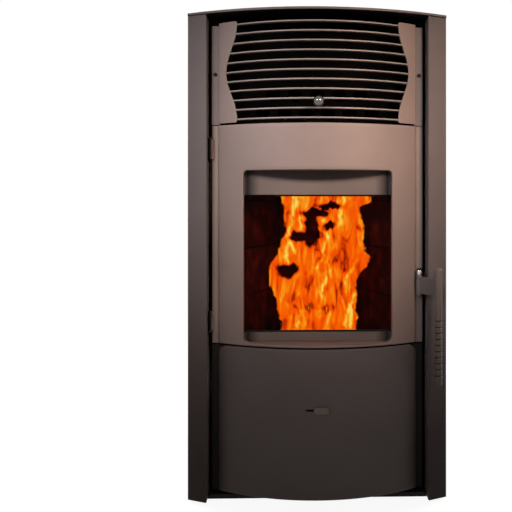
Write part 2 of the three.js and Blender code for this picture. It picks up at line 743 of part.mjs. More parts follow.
function hopper() {
  const top = topPlateBottom - fit;
  const knee = topPlateBottom - hopperStraight;
  const neckTop = knee - funnelHeight;
  const mouth = [hopperLeft, hopperRight, hopperFront, hopperBack];
  const neck = [-neckHalfWidth, neckHalfWidth, neckFront, neckBack];
  const inset = ([x0, x1, y0, y1], wall) => [x0 + wall, x1 - wall, y0 + wall, y1 - wall];
  const lowest = augerEndZ - 20;
  const outer = join([
    block(...mouth, knee, top), loft(neck, neckTop, mouth, knee + 0.01), block(...neck, lowest, neckTop + 0.01),
  ]);
  const inner = join([
    block(...inset(mouth, sheet), knee, top + 1), loft(inset(neck, sheet), neckTop, inset(mouth, sheet), knee + 0.01),
    block(...inset(neck, sheet), lowest - 1, neckTop + 0.01),
  ]);
  const slope = augerRise / augerRun;
  const axisZ = (y) => augerEndZ + (augerEndY - y) * slope;
  const belowAxis = prism('x', [
    [neckFront - 9, -beyond], [neckBack + 9, -beyond],
    [neckBack + 9, axisZ(neckBack + 9)], [neckFront - 9, axisZ(neckFront - 9)],
  ], -beyond, beyond);
  return cut(outer, [inner, belowAxis, augerAxis(augerTubeRadius + fit, -60, augerLength)]);
}

function hopperGasket() {
  const [x0, x1, y0, y1] = hatch;
  const ring = block(x0 - gasketLip, x1 + gasketLip, y0 - gasketLip, y1 + gasketLip, topPlateTop + fit, gasketTop);
  return ring.subtract(block(x0, x1, y0, y1, topPlateTop, gasketTop + 1));
}

function augerTube() {
  const slope = augerRise / augerRun;
  const axisZ = (y) => augerEndZ + (augerEndY - y) * slope;
  const [y0, y1] = [neckFront + sheet + 2, neckBack - sheet - 2];
  const inlet = prism('x', [[y0, axisZ(y0)], [y1, axisZ(y1)], [y1, beyond], [y0, beyond]],
    ...around(0, neckHalfWidth - sheet - 4));
  return cut(augerAxis(augerTubeRadius, 0, augerLength), [
    augerAxis(augerTubeRadius - augerTubeWall, -9, augerLength + 9), inlet,
  ]);
}

function augerMotor() {
  const boss = augerAxis(augerTubeRadius - augerTubeWall - 1, -3, 4);
  const bore = augerAxis(augerShaftRadius * 0.6 + fit, -14, 30, 12);
  return augerAxis(augerMotorRadius, -augerMotorLength, -fit, 24).add(boss).subtract(bore);
}

// A flat ribbon wound round the shaft, as one closed strip of eight-sided steps.
function augerScrew() {
  const stepsPerTurn = 12;
  const flightLength = augerLength - 1.5 * augerFlightStart;
  const steps = Math.round((flightLength / augerPitch) * stepsPerTurn);
  const inner = augerShaftRadius - 1.5;
  const half = augerFlight / 2;
  const section = [[inner, -half], [augerScrewRadius, -half], [augerScrewRadius, half], [inner, half]];
  const corners = [];
  const faces = [0, 1, 2, 0, 2, 3];
  for (let i = 0; i <= steps; i++) {
    const angle = (2 * Math.PI * i) / stepsPerTurn;
    for (const [radius, shift] of section) {
      corners.push(radius * Math.cos(angle), radius * Math.sin(angle),
        augerFlightStart + (augerPitch * i) / stepsPerTurn + shift);
    }
    if (i === steps) break;
    for (let k = 0; k < 4; k++) {
      const a = 4 * i + k;
      const b = 4 * i + ((k + 1) % 4);
      faces.push(a, a + 4, b, b, a + 4, b + 4);
    }
  }
  const last = 4 * steps;
  faces.push(last, last + 2, last + 1, last, last + 3, last + 2);
  const flight = new THREE.BufferGeometry();
  flight.setAttribute('position', new THREE.Float32BufferAttribute(corners, 3));
  flight.setIndex(faces);
  const along = new THREE.Vector3(0, -augerRun, augerRise);
  flight.applyQuaternion(new THREE.Quaternion().setFromUnitVectors(new THREE.Vector3(0, 0, 1), along));
  flight.translate(0, augerEndY, augerEndZ);
  const shaft = augerAxis(augerShaftRadius, 6, augerLength - 2);
  const journal = augerAxis(augerShaftRadius * 0.6, -12, 8, 12);
  return join([solidOf(flight), shaft, journal]);
}

// ---------------------------------------------------------------- air and smoke

const blowerFront = fireboxBack + blowerGap;
const blowerBack = blowerFront + blowerDepth;

function exhaustBlower() {
  const at = (y) => [flueX, y, flueZ];
  const drum = rod(blowerRadius, at(blowerFront), at(blowerBack), 28);
  const cavity = rod(blowerRadius - plate, at(blowerFront + plate), at(blowerBack - plate), 28);
  const motor = rod(18, at(fireboxBack + 2), at(blowerFront + 1), 20);
  const inlet = block(ductLeft + sheet, ductRight - sheet, blowerFront - 1, blowerFront + plate + 1,
    flueZ - 20, flueZ + 20);
  const outlet = rod(flueRadius - flueWall, at(blowerBack - 9), at(blowerBack + 9), 24);
  const journal = rod(fanShaftRadius + fit, at(blowerFront - 12), at(blowerFront + 9), 12);
  return cut(drum.subtract(cavity).add(motor), [inlet, outlet, journal]);
}

function bladedWheel(radius, hub, count, length, thickness) {
  const pieces = [rod(hub, [0, 0, 0], [0, 0, length], 16), rod(radius, [0, 0, 0], [0, 0, thickness], 28)];
  for (let i = 0; i < count; i++) {
    const blade = block(hub - 1, radius, -thickness / 2, thickness / 2, thickness - 0.5, length);
    pieces.push(blade.rotate([0, 0, (360 * i) / count]));
  }
  return join(pieces);
}

function exhaustImpeller() {
  const length = blowerDepth - 2 * plate - 12;
  const wheel = bladedWheel(impellerRadius, impellerHub, 8, length, 2).rotate([-90, 0, 0]);
  const placed = wheel.translate([flueX, blowerFront + plate + 5, flueZ]);
  const shaft = rod(fanShaftRadius, [flueX, blowerFront - 11, flueZ], [flueX, blowerFront + plate + 8, flueZ], 12);
  return placed.add(shaft);
}

function flueCollar() {
  const at = (y) => [flueX, y, flueZ];
  const start = blowerBack + fit;
  return cut(join([rod(flueRadius, at(start), at(flueEnd), 24), rod(flueRadius + 10, at(start), at(start + 4), 24)]),
    [rod(flueRadius - flueWall, at(start - 9), at(flueEnd + 9), 24)]);
}

function airInlet() {
  const at = (y) => [airInletX, y, airInletZ];
  const start = fireboxBack + fit;
  return cut(join([rod(airInletRadius, at(start), at(airInletEnd), 20), rod(airInletRadius + 8, at(start), at(start + 3), 20)]),
    [rod(airInletRadius - flueWall, at(start - 9), at(airInletEnd + 9), 20)]);
}

function igniter() {
  const at = (y) => [0, y, igniterZ];
  return join([rod(5, at(potBack - 8), at(fireboxBack + 9), 12), rod(10, at(fireboxBack + fit), at(fireboxBack + 5), 16)]);
}

function roomBlower() {
  const half = roomFanLength / 2 + roomFanEndGap;
  const bottom = footHeight + sheet + fit;
  const top = roomFanZ + roomFanCasingRise;
  const box = block(...around(roomFanX, half), ...around(roomFanY, roomFanCasing), bottom, top);
  const inside = block(...around(roomFanX, half - sheet), ...around(roomFanY, roomFanCasing - sheet),
    bottom + sheet, top + 8);
  const intake = block(...around(roomFanX, half - 12), roomFanY + roomFanCasing - 8, roomFanY + roomFanCasing + 12,
    ...around(roomFanZ - 5, roomFanMotorRadius + 1));
  const left = roomFanX - half;
  const motor = rod(roomFanMotorRadius, [left + 1, roomFanY, roomFanZ],
    [left - roomFanMotorLength, roomFanY, roomFanZ], 20);
  const bearing = rod(fanShaftRadius + fit, [left - 10, roomFanY, roomFanZ],
    [roomFanX + half + 9, roomFanY, roomFanZ], 12);
  return cut(join([box, motor]), [inside, intake, bearing]);
}

function roomBlowerWheel() {
  const wheel = bladedWheel(roomFanRadius, 8, roomFanBladeCount, roomFanLength - 2 * roomFanEndGap, 2).rotate([0, 90, 0]);
  const start = roomFanX - roomFanLength / 2 + roomFanEndGap;
  const shaft = rod(fanShaftRadius, [start - 14, roomFanY, roomFanZ], [start + roomFanLength + 2, roomFanY, roomFanZ], 12);
  return wheel.translate([start, roomFanY, roomFanZ]).add(shaft);
}

function powerInlet() {
  const y = rearInner + fit + sheet;
  const box = (grow, y0, y1) => block(...around(socketX, socketWidth / 2 + grow), y0, y1,
    ...around(socketZ, socketHeight / 2 + grow));
  const body = join([box(0, y - socketDepth, y + 1), box(socketFlange, y + fit, y + socketWall)]);
  const pins = [-1, 0, 1].map((i) => block(...around(socketX + i * socketPinPitch, 1), y - 13, y,
    ...around(socketZ, socketWall)));
  return join([body.subtract(box(-socketWall, y - 12, y + 9)), ...pins]);
}

// ---------------------------------------------------------------- controls on the top plate

const bezelTop = topPlateTop + fit + bezelHeight;
const buttonY = controlY - 34;
const buttonX = (i) => controlX + (i - (buttonCount - 1) / 2) * buttonPitch;
const displayArea = [controlX - 28, controlX + 28, controlY - 4, controlY + 40];

function controlHousing() {
  const [hx, hy] = [controlWidth / 2, controlDepth / 2];
  const body = block(controlX - hx, controlX + hx, controlY - hy, controlY + hy,
    topPlateBottom - controlDrop, topPlateTop + fit + 1);
  const bezel = block(controlX - hx - 5, controlX + hx + 5, controlY - hy - 5, controlY + hy + 5,
    topPlateTop + fit, bezelTop);
  const tools = [block(...displayArea, bezelTop - 2, bezelTop + 1)];
  for (let i = 0; i < buttonCount; i++) {
    tools.push(rod(buttonRadius + fit, [buttonX(i), buttonY, bezelTop - 11], [buttonX(i), buttonY, bezelTop + 1], 20));
  }
  return cut(join([body, bezel]), tools);
}

function controlDisplay() {
  const [x0, x1, y0, y1] = displayArea;
  return block(x0 + fit, x1 - fit, y0 + fit, y1 - fit, bezelTop - 2 + fit, bezelTop - fit);
}

function controlButton() {
  const r = buttonRadius;
  return turned([[0, 0], [r, 0], [r, 9.6], [r - 0.8, 10.4], [0, 10.4]], [0, 0, 0], [0, 0, 1], 20);
}

// ---------------------------------------------------------------- fire door

const windowOutline = (grow) => roundedOutline(-windowHalfWidth - grow, windowHalfWidth + grow,
  doorBottom + windowSill - grow, doorBottom + windowSill + windowHeight + grow,
  windowBottomCorner + grow, windowTopCorner + grow);

function doorOuterPlate() {
  const skin = bowedSheet(frontHalfWidth, doorBottom, doorTop, 0, frontSheet, 18);
  const behindFace = bowedSheet(windowHalfWidth + windowReturn, doorBottom, doorTop, 0, backingBack, 18);
  const flange = prism('y', windowOutline(frontSheet), 0, innerFrameFront - fit).intersect(behindFace);
  const edge = block(frontHalfWidth - frontSheet, frontHalfWidth, backingFront - edgeReturn,
    backingFront - fit, doorBottom, doorTop);
  const body = join([skin, flange, edge, edge.mirror([1, 0, 0])]);
  return body.subtract(prism('y', windowOutline(0), -beyond, beyond));
}

function doorInnerFrame() {
  const [half, bottom, top] = [glassHalfWidth, glassBottom, glassTop];
  const rim = [-half - rimSide, half + rimSide, doorBottom + 1, top + rimRise];
  const lap = glassOverlap + 2;
  const opening = [-half - lap, half + lap, bottom - lap, top + lap];
  const parts = [
    frameRing(rim, [-half, half, bottom, top], innerFrameFront, innerFrameFront + plate),
    frameRing(rim, [rim[0] + plate, rim[1] - plate, rim[2] + plate, rim[3] - plate],
      innerFrameFront + 1, backingFront + 1),
    frameRing([-backingHalfWidth, backingHalfWidth, doorBottom, doorTop], opening, backingFront, backingBack),
  ];
  const tools = [];
  for (const low of hingeLevels) {
    const high = low + hingeKnuckleHeight;
    parts.push(rod(hingeKnuckleRadius, [hingeX, hingeY, low], [hingeX, hingeY, high]));
    parts.push(block(hingeX - 1, hingeX + 5, hingeY, backingFront + 1, low, high));
    tools.push(rod(hingePinRadius + fit, [hingeX, hingeY, low - 1], [hingeX, hingeY, high + 1]));
  }
  const notch = block(backingHalfWidth - 11, backingHalfWidth + 1, backingFront - 1, backingBack + 1,
    bracketBottom - 5, bracketTop + 16);
  return cut(join(parts), [...tools, notch]);
}

const hingeLevels = [doorBottom + lowerHingeRise, doorTop - upperHingeDrop];

// A bracket on the column with the pin that the door's knuckle turns on.
function hingePin(knuckleBottom, side) {
  const seat = side > 0 ? knuckleBottom + hingeKnuckleHeight + fit : knuckleBottom - fit;
  const far = seat + side * 4;
  const levels = [Math.min(seat, far), Math.max(seat, far)];
  const tip = side > 0 ? knuckleBottom + 2 : knuckleBottom + hingeKnuckleHeight - 2;
  return join([
    rod(hingeKnuckleRadius, [hingeX, hingeY, levels[0]], [hingeX, hingeY, levels[1]]),
    block(-columnInner + fit, hingeX, hingeY - 4, hingeY + 4, ...levels),
    rod(hingePinRadius, [hingeX, hingeY, far], [hingeX, hingeY, tip]),
  ]);
}

function doorGlass() {
  const lap = glassOverlap;
  return block(-glassHalfWidth - lap, glassHalfWidth + lap, glassFront, glassBack,
    glassBottom - lap, glassTop + lap);
}

function glassRetainer() {
  const [half, bottom, top] = [glassHalfWidth, glassBottom, glassTop];
  const lap = glassOverlap + 2;
  return frameRing([-half - lap, half + lap, bottom - lap, top + lap], [-half + 3, half - 3, bottom + 3, top - 3],
    glassBack + fit, glassBack + fit + retainerThickness);
}

function doorGasket() {
  const lap = glassOverlap + 5;
  const [half, bottom, top] = [glassHalfWidth + lap, glassBottom - lap, glassTop + lap];
  const w = gasketWidth;
  return frameRing([-half - w, half + w, bottom - w, top + w], [-half, half, bottom, top],
    backingBack + fit, backingBack + fit + gasketThickness);
}

// Lugs above and below the handle's knuckle, on a plate that is screwed to the door's edge.
function handleMount() {
  const lugs = [[bracketBottom - 4 - fit, bracketBottom - fit], [bracketTop + fit, bracketTop + fit + 4]];
  const x0 = frontHalfWidth + fit;
  const parts = [block(x0, handleX - 2, backingFront - 2.8, backingFront - fit, lugs[0][0], lugs[1][1])];
  const bores = [];
  for (const [z0, z1] of lugs) {
    parts.push(rod(knuckleRadius, [handleX, handleY, z0], [handleX, handleY, z1]));
    parts.push(block(handleX - knuckleRadius + 0.4, handleX - 2, handleY, backingFront - 1, z0, z1));
    bores.push(rod(handlePinRadius + fit, [handleX, handleY, z0 - 1], [handleX, handleY, z1 + 1]));
  }
  return cut(join(parts), bores);
}

function handlePin() {
  const bottom = bracketBottom - 4 - fit;
  const headBottom = bracketTop + 4 + 2 * fit;
  const head = [[0, 0], [7, 0], [7, 8], [6, 9.4], [0, 9.4]];
  return join([
    rod(handlePinRadius, [handleX, handleY, bottom], [handleX, handleY, headBottom + 1]),
    turned(head, [handleX, handleY, headBottom], [0, 0, 1]),
  ]);
}

function handleBracket() {
  const reach = Math.hypot(handleReachX, handleReachY);
  const angle = -Math.atan2(handleReachY, handleReachX);
  const arm = block(0, reach, -4.5, 4.5, bracketBottom, bracketTop).rotate([0, 0, THREE.MathUtils.radToDeg(angle)]);
  const tongue = block(0, 13.5, -3, 3, bracketBottom + 10, bracketTop - 10).rotate([0, 0, 78]);
  return cut(join([
    rod(knuckleRadius, [handleX, handleY, bracketBottom], [handleX, handleY, bracketTop], 20),
    arm.translate([handleX, handleY, 0]), tongue.translate([handleX, handleY, 0]),
  ]), [
    rod(handlePinRadius + fit, [handleX, handleY, bracketBottom - 1], [handleX, handleY, bracketTop + 1]),
    rod(handleRadius + fit, [gripX, gripY, bracketBottom - 1], [gripX, gripY, bracketTop + 1], 20),
  ]);
}

// Round bar with domed ends and a band of finger grooves above the middle of its lower part.
function handleGrip() {
  const r = handleRadius;
  const profile = [[0, 0], [r * 0.6, 0.8], [r * 0.9, 3], [r, 6]];
  for (let i = 0; i < handleGrooveCount; i++) {
    const z = 22 + i * handleGroovePitch;
    profile.push([r, z - 1.4], [r - handleGrooveDepth, z], [r, z + 1.4]);
  }
  profile.push([r, handleLength - 6], [r * 0.9, handleLength - 3], [r * 0.6, handleLength - 0.8], [0, handleLength]);
  return turned(profile, [gripX, gripY, bracketBottom - handleBelowBracket], [0, 0, 1], 14);
}

function latchKeeper() {
  const x0 = handleX + 5;
  const y0 = backingBack + 2;
  return block(x0, columnInner - fit, y0, columnLipDepth - 1, bracketBottom + 4, bracketTop - 4);
}

// ---------------------------------------------------------------- ash drawer

const latchZ = drawerFrontBottom + latchHeightOnFront;
const latchLeft = latchOffset - latchTabWidth / 2;
const latchRight = latchOffset + latchTabWidth / 2;

function ashDrawerFront() {
  const skin = bowedSheet(frontHalfWidth, drawerFrontBottom, drawerTop, 0, frontSheet, 18);
  const edge = block(frontHalfWidth - frontSheet, frontHalfWidth, backingFront - edgeReturn,
    backingFront + 1, drawerFrontBottom, drawerTop);
  const rounded = roundedOutline(-frontHalfWidth, frontHalfWidth, drawerFrontBottom, drawerTop, 3, drawerCorner, 5);
  const front = join([skin, edge, edge.mirror([1, 0, 0])]).intersect(prism('y', rounded, -beyond, beyond));
  const backing = block(-backingHalfWidth, backingHalfWidth, backingFront, backingBack, drawerFrontBottom, drawerTop);
  const slot = block(latchLeft - latchTravel, latchRight, -9, 30,
    latchZ - latchSlotHeight / 2, latchZ + latchSlotHeight / 2);
  return front.subtract(slot).add(backing);
}

function ashDrawerBox() {
  const y0 = backingBack + fit;
  const x = drawerBoxHalf;
  const top = drawerFloorZ + drawerBoxHeight;
  return block(-x, x, y0, y0 + drawerBoxLength, drawerFloorZ, top).subtract(
    block(-x + sheet, x - sheet, y0 + sheet, y0 + drawerBoxLength - sheet, drawerFloorZ + sheet, top + 1));
}

function latchTab() {
  const face = frontSetback - 0.4;
  const behind = bowY(latchLeft - latchTravel) + frontSheet + 0.5;
  const half = latchTabHeight / 2;
  const tab = roundedOutline(latchLeft, latchRight, latchZ - half, latchZ + half, half - 0.5, half - 0.5, 5);
  const stem = latchSlotHeight / 2 - fit;
  return join([
    prism('y', tab, face - 3.4, face),
    block(latchLeft + 4, latchRight - 4, face - 1, behind + 1, latchZ - stem, latchZ + stem),
    block(latchLeft, latchRight, behind, behind + 2, latchZ - half, latchZ + half),
  ]);
}

// ---------------------------------------------------------------- hopper lid

function hopperLid() {
  const [x0, x1, y0] = hatch;
  const panel = block(x0 - gasketLip - 2, x1 + gasketLip + 2, y0 - gasketLip - 2, lidBack, lidBottom, lidTop);
  const parts = [panel];
  for (const x of lidKnuckles) {
    parts.push(rod(lidKnuckleRadius, [x - 15, lidAxisY, lidAxisZ], [x + 15, lidAxisY, lidAxisZ]));
    parts.push(block(x - 15, x + 15, lidBack - 1, lidAxisY, lidBottom, lidTop));
    parts.push(rod(2, [x - 21, lidAxisY, lidAxisZ], [x + 21, lidAxisY, lidAxisZ], 12));
  }
  return join(parts);
}

function lidHandle() {
  const x = (hatch[0] + hatch[1]) / 2;
  const y = hatch[2] + 14;
  const z = lidTop + fit;
  return join([
    rod(4, [x - 40, y, z], [x - 40, y, z + 18], 12), rod(4, [x + 40, y, z], [x + 40, y, z + 18], 12),
    block(x - 46, x + 46, y - 5, y + 5, z + 14, z + 22),
  ]);
}

// ---------------------------------------------------------------- tube cleaner

const knobY = frontSetback - knobRadius - 9.5;
const scraperBack = fireboxBack - plate - 12;

function cleaningRod() {
  return rod(rodRadius, [0, knobY + knobRadius - 5, rodZ], [0, scraperBack - plate - fit, rodZ], 14);
}

function cleaningKnob() {
  const ball = solidOf(new THREE.SphereGeometry(knobRadius, 20, 12).translate(0, knobY, rodZ));
  return ball.subtract(rod(rodRadius + fit, [0, knobY + knobRadius - 5 - fit, rodZ], [0, knobY + 30, rodZ], 14));
}

function scraperPlate() {
  const bottom = exchangerBottom + scraperRise;
  const body = block(...around(0, fireboxHalfWidth - scraperMargin), scraperBack - plate, scraperBack,
    bottom, bottom + scraperHeight);
  return cut(body, tubeCentres.map(([x, z]) => rod(tubeRadius + 1, [x, scraperBack - 9, z], [x, scraperBack + 9, z], 14)));
}

// ---------------------------------------------------------------- assembly

addFeet();
add(stove, 'base_pan', basePan(), blackSteel);
for (const [side, sign] of sides) {
  add(stove, `side_panel_${side}`, mirrored(sidePanel(), sign), bronze);
  add(stove, `front_column_${side}`, mirrored(frontColumn(), sign), bronze);
  const screw = add(stove, `grille_screw_${side}`, grilleScrew(), zinc);
  screw.position.set(sign * (stripOuter - 4.5), 0, louvreBottom + louvreHeight * 0.49);
  add(stove, `firebox_side_liner_${side}`, mirrored(sideLiner(), sign), brick);
}
add(stove, 'rear_panel', rearPanel(), blackSteel);
add(stove, 'top_plate', topPlate(), bronze);
add(stove, 'louvre_grille', louvreGrille(), bronze);
add(stove, 'outlet_box', outletBox(), blackSteel);
add(stove, 'firebox_shell', fireboxShell(), stoveSteel);
add(stove, 'firebox_back_liner', backLiner(), brick);
add(stove, 'burn_pot', burnPot(), stoveSteel);
add(stove, 'heat_exchanger', heatExchanger(), stoveSteel);
add(stove, 'exhaust_duct', exhaustDuct(), stoveSteel);
add(stove, 'hopper', hopper(), zinc);
add(stove, 'hopper_gasket', hopperGasket(), ropeFinish);
add(stove, 'auger_tube', augerTube(), stoveSteel);
add(stove, 'auger_motor', augerMotor(), zinc);
add(stove, 'auger_screw', augerScrew(), stoveSteel);
add(stove, 'exhaust_blower_housing', exhaustBlower(), zinc);
add(stove, 'exhaust_impeller', exhaustImpeller(), zinc);
add(stove, 'flue_collar', flueCollar(), blackSteel);
add(stove, 'air_inlet_pipe', airInlet(), zinc);
add(stove, 'igniter', igniter(), zinc);
add(stove, 'room_blower_housing', roomBlower(), zinc);
add(stove, 'room_blower_wheel', roomBlowerWheel(), zinc);
add(stove, 'power_inlet', powerInlet(), blackPlastic);
add(stove, 'control_housing', controlHousing(), blackPlastic);
add(stove, 'control_display', controlDisplay(), glass);
for (let i = 0; i < buttonCount; i++) {
  const button = add(stove, `control_button_${i + 1}`, controlButton(), zinc);
  button.position.set(buttonX(i), buttonY, bezelTop - 11 + buttonTravel + 1);
}
add(stove, 'latch_keeper', latchKeeper(), zinc);
add(stove, 'hinge_pin_upper', hingePin(hingeLevels[1], 1), blackSteel);
add(stove, 'hinge_pin_lower', hingePin(hingeLevels[0], -1), blackSteel);

add(door, 'door_outer_plate', doorOuterPlate(), bronze);
add(door, 'door_inner_frame', doorInnerFrame(), darkBronze);
add(door, 'door_glass', doorGlass(), glass);
add(door, 'glass_retainer', glassRetainer(), zinc);
add(door, 'door_gasket', doorGasket(), ropeFinish);
add(door, 'handle_pivot_mount', handleMount(), darkBronze);
add(door, 'handle_pin', handlePin(), chrome);
add(handle, 'handle_bracket', handleBracket(), gripFinish);
add(handle, 'handle_grip', handleGrip(), gripFinish);

add(drawer, 'ash_drawer_front', ashDrawerFront(), darkBronze);
add(drawer, 'ash_drawer_box', ashDrawerBox(), zinc);
add(drawer, 'drawer_latch_tab', latchTab(), bronze);
add(lid, 'hopper_lid', hopperLid(), blackSteel);
add(lid, 'hopper_lid_handle', lidHandle(), chrome);
add(scraper, 'cleaning_rod', cleaningRod(), chrome);
add(scraper, 'cleaning_knob', cleaningKnob(), chrome);
add(scraper, 'scraper_plate', scraperPlate(), stoveSteel);

// Centre the whole stove, knob to flue, over the origin.
stove.position.y = -(knobY - knobRadius + flueEnd) / 2;
stove.updateMatrixWorld(true);

export default stove;
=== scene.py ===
# %% [markdown]
# # A pellet stove, dressed piece by piece
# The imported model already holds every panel, pin and pipe at its real size. This script keeps
# that construction fixed and works on what the eye sees: rolled sheet with soft edges, powder
# coat, firebrick, glass and a fire. All lengths are in metres, in the model's own frame.

# %% Load the frame and measure it
import math

import bmesh
import bpy
import numpy as np
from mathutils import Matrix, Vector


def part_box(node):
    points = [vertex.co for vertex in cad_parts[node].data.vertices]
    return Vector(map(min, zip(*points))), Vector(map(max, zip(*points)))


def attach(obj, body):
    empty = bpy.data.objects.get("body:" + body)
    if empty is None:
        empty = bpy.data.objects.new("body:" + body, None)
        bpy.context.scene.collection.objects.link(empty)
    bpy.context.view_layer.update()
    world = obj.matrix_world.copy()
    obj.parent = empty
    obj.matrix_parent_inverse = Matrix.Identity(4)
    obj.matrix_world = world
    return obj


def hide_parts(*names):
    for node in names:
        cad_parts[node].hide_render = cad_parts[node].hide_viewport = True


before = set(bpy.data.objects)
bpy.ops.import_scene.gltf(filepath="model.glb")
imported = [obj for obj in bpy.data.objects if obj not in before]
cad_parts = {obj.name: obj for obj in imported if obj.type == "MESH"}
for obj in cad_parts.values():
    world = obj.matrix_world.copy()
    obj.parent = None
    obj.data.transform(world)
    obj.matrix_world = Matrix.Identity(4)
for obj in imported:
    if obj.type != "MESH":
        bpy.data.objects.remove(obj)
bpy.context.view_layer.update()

CLEARANCE = 0.0003  # between neighbouring pieces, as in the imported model
FRONT_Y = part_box("top_plate")[0].y  # front middle of the top plate
print("front of the top plate at y", round(FRONT_Y, 4))


# %% [markdown]
# ## The camera
# The photograph shows upright edges that stay parallel, so the camera is level and the picture is
# framed by lens shift instead of by tilting. It could also be aimed by eye, but its numbers come
# from fitting thirty measured edges of the photograph to the model. It stands a little to the left
# of the stove's middle.

# %% Camera
def scene_object(name, data):
    """A new object in the scene that holds a mesh, a lamp or a camera."""
    piece = bpy.data.objects.new(name, data)
    bpy.context.scene.collection.objects.link(piece)
    return piece


CAMERA_HEIGHT = 0.601
CAMERA_DISTANCE = 1.395
CAMERA_YAW = math.radians(1.6)
LENS = 50  # millimetres, as is the sensor's width
SENSOR_WIDTH = 36
FRAME_WIDTH = 512  # pixels, as are the row and the column
HORIZON_ROW = 207.5
STOVE_COLUMN = 318.5

camera_data = bpy.data.cameras.new("photo_camera")
camera_data.lens = LENS
camera_data.sensor_width = SENSOR_WIDTH
camera_data.shift_x = (FRAME_WIDTH / 2 - STOVE_COLUMN) / FRAME_WIDTH
camera_data.shift_y = (HORIZON_ROW - FRAME_WIDTH / 2) / FRAME_WIDTH
camera = scene_object("photo_camera", camera_data)
camera.location = (
    -math.sin(CAMERA_YAW) * CAMERA_DISTANCE,
    FRONT_Y - math.cos(CAMERA_YAW) * CAMERA_DISTANCE,
    CAMERA_HEIGHT,
)
camera.rotation_euler = (math.radians(90), 0, -CAMERA_YAW)
bpy.context.scene.camera = camera
bpy.context.scene.view_settings.view_transform = "Standard"
print("camera at", [round(value, 3) for value in camera.location])


# %% [markdown]
# ## Surfaces from grids
# Most parts that show on the real stove are one bent sheet or one turned bar. They could be carved
# out of boxes, but here each is a grid of points worked out as an array, with its neighbours joined
# into four-sided faces: a grid follows a curve evenly and keeps its formula in sight. It may close
# on itself, as a ring round a window does.

# %% Grid helpers
def grid_faces(rows, columns, ring=False):
    """Four-sided faces between neighbours of a rows x columns grid; a ring joins last to first."""
    r = np.arange(rows - 1)[:, None]
    c = np.arange(columns if ring else columns - 1)[None, :]
    following = (c + 1) % columns
    corners = (r * columns + c, r * columns + following,
               (r + 1) * columns + following, (r + 1) * columns + c)
    return np.stack(corners, axis=-1).reshape(-1, 4)


def mesh_object(name, points, faces):
    """A mesh object from an array of points and an array, or list, of faces."""
    mesh = bpy.data.meshes.new(name)
    mesh.from_pydata(np.asarray(points, float).reshape(-1, 3).tolist(), [], np.asarray(faces).tolist())
    mesh.validate()
    return scene_object(name, mesh)


SAME_POINT = 1e-6  # points nearer than this are one point


def tidy_normals(piece):
    """Merges points that coincide and turns every face outwards."""
    shape = bmesh.new()
    shape.from_mesh(piece.data)
    bmesh.ops.remove_doubles(shape, verts=shape.verts, dist=SAME_POINT)
    bmesh.ops.recalc_face_normals(shape, faces=shape.faces)
    shape.to_mesh(piece.data)
    shape.free()
    return piece


def smooth(piece, angle=35):
    """Smooth shading, with a crease wherever two faces meet at more than the angle."""
    piece.data.polygons.foreach_set("use_smooth", [True] * len(piece.data.polygons))
    piece.data.set_sharp_from_angle(angle=math.radians(angle))
    return piece


def bevel(piece, width, angle=30):
    """Rounds the edges where two faces meet at more than the angle."""
    edge = piece.modifiers.new("edge_rounding", "BEVEL")
    edge.width = width
    edge.segments = 2
    edge.limit_method = "ANGLE"
    edge.angle_limit = math.radians(angle)
    edge.harden_normals = False
    return piece


def dress(piece, body, slot, material, *nodes):
    """Gives a finished piece its material and its body, and hides the CAD nodes it stands for."""
    piece.data.materials.clear()
    piece.data.materials.append(material)
    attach(piece, body)
    if nodes:
        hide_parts(*nodes)
    return piece


def joined(name, parts):
    """Several (points, faces) pairs as one mesh object."""
    points, faces, start = [], [], 0
    for part_points, part_faces in parts:
        flat = np.asarray(part_points, float).reshape(-1, 3)
        points.append(flat)
        faces.extend((np.asarray(face) + start).tolist() for face in part_faces)
        start += len(flat)
    mesh = bpy.data.meshes.new(name)
    mesh.from_pydata(np.concatenate(points).tolist(), [], faces)
    return scene_object(name, mesh)


# %% [markdown]
# ## Finishes
# Powder coat is a paint with a fine orange-peel skin: a tiny bump, a slight cloudiness in colour
# and an uneven gloss. A picture of real paint could be wrapped round each panel, but it would show
# seams. Each finish is instead a short function that wires noise to those three, and the noise
# reads the point's own place on the piece, so it has no seam and moves with the piece.

# %% Material helpers
def new_material(name):
    """An empty node material and its Principled shader."""
    material = bpy.data.materials.new(name)
    material.use_nodes = True
    return material, material.node_tree, material.node_tree.nodes["Principled BSDF"]


def own_place(tree):
    """The point's place on its own object, in metres."""
    return tree.nodes.new("ShaderNodeTexCoord").outputs["Object"]


def noise(tree, scale, detail=3.0, roughness=0.5, stretch=(1, 1, 1), shift=(0, 0, 0), twist=0.0):
    """A noise texture. A stretch below 1 draws it out along that axis; a twist bends it."""
    mapping = tree.nodes.new("ShaderNodeMapping")
    mapping.inputs["Location"].default_value = shift
    mapping.inputs["Scale"].default_value = stretch
    texture = tree.nodes.new("ShaderNodeTexNoise")
    texture.inputs["Scale"].default_value = scale
    texture.inputs["Detail"].default_value = detail
    texture.inputs["Roughness"].default_value = roughness
    texture.inputs["Distortion"].default_value = twist
    tree.links.new(own_place(tree), mapping.inputs["Vector"])
    tree.links.new(mapping.outputs["Vector"], texture.inputs["Vector"])
    return texture.outputs["Fac"]


def ramp(tree, source, stops):
    """A colour ramp; each stop is (position, (r, g, b))."""
    node = tree.nodes.new("ShaderNodeValToRGB")
    elements = node.color_ramp.elements
    while len(elements) < len(stops):
        elements.new(0.5)
    for element, (position, colour) in zip(elements, stops):
        element.position = position
        element.color = (*colour, 1)
    tree.links.new(source, node.inputs["Fac"])
    return node.outputs["Color"]


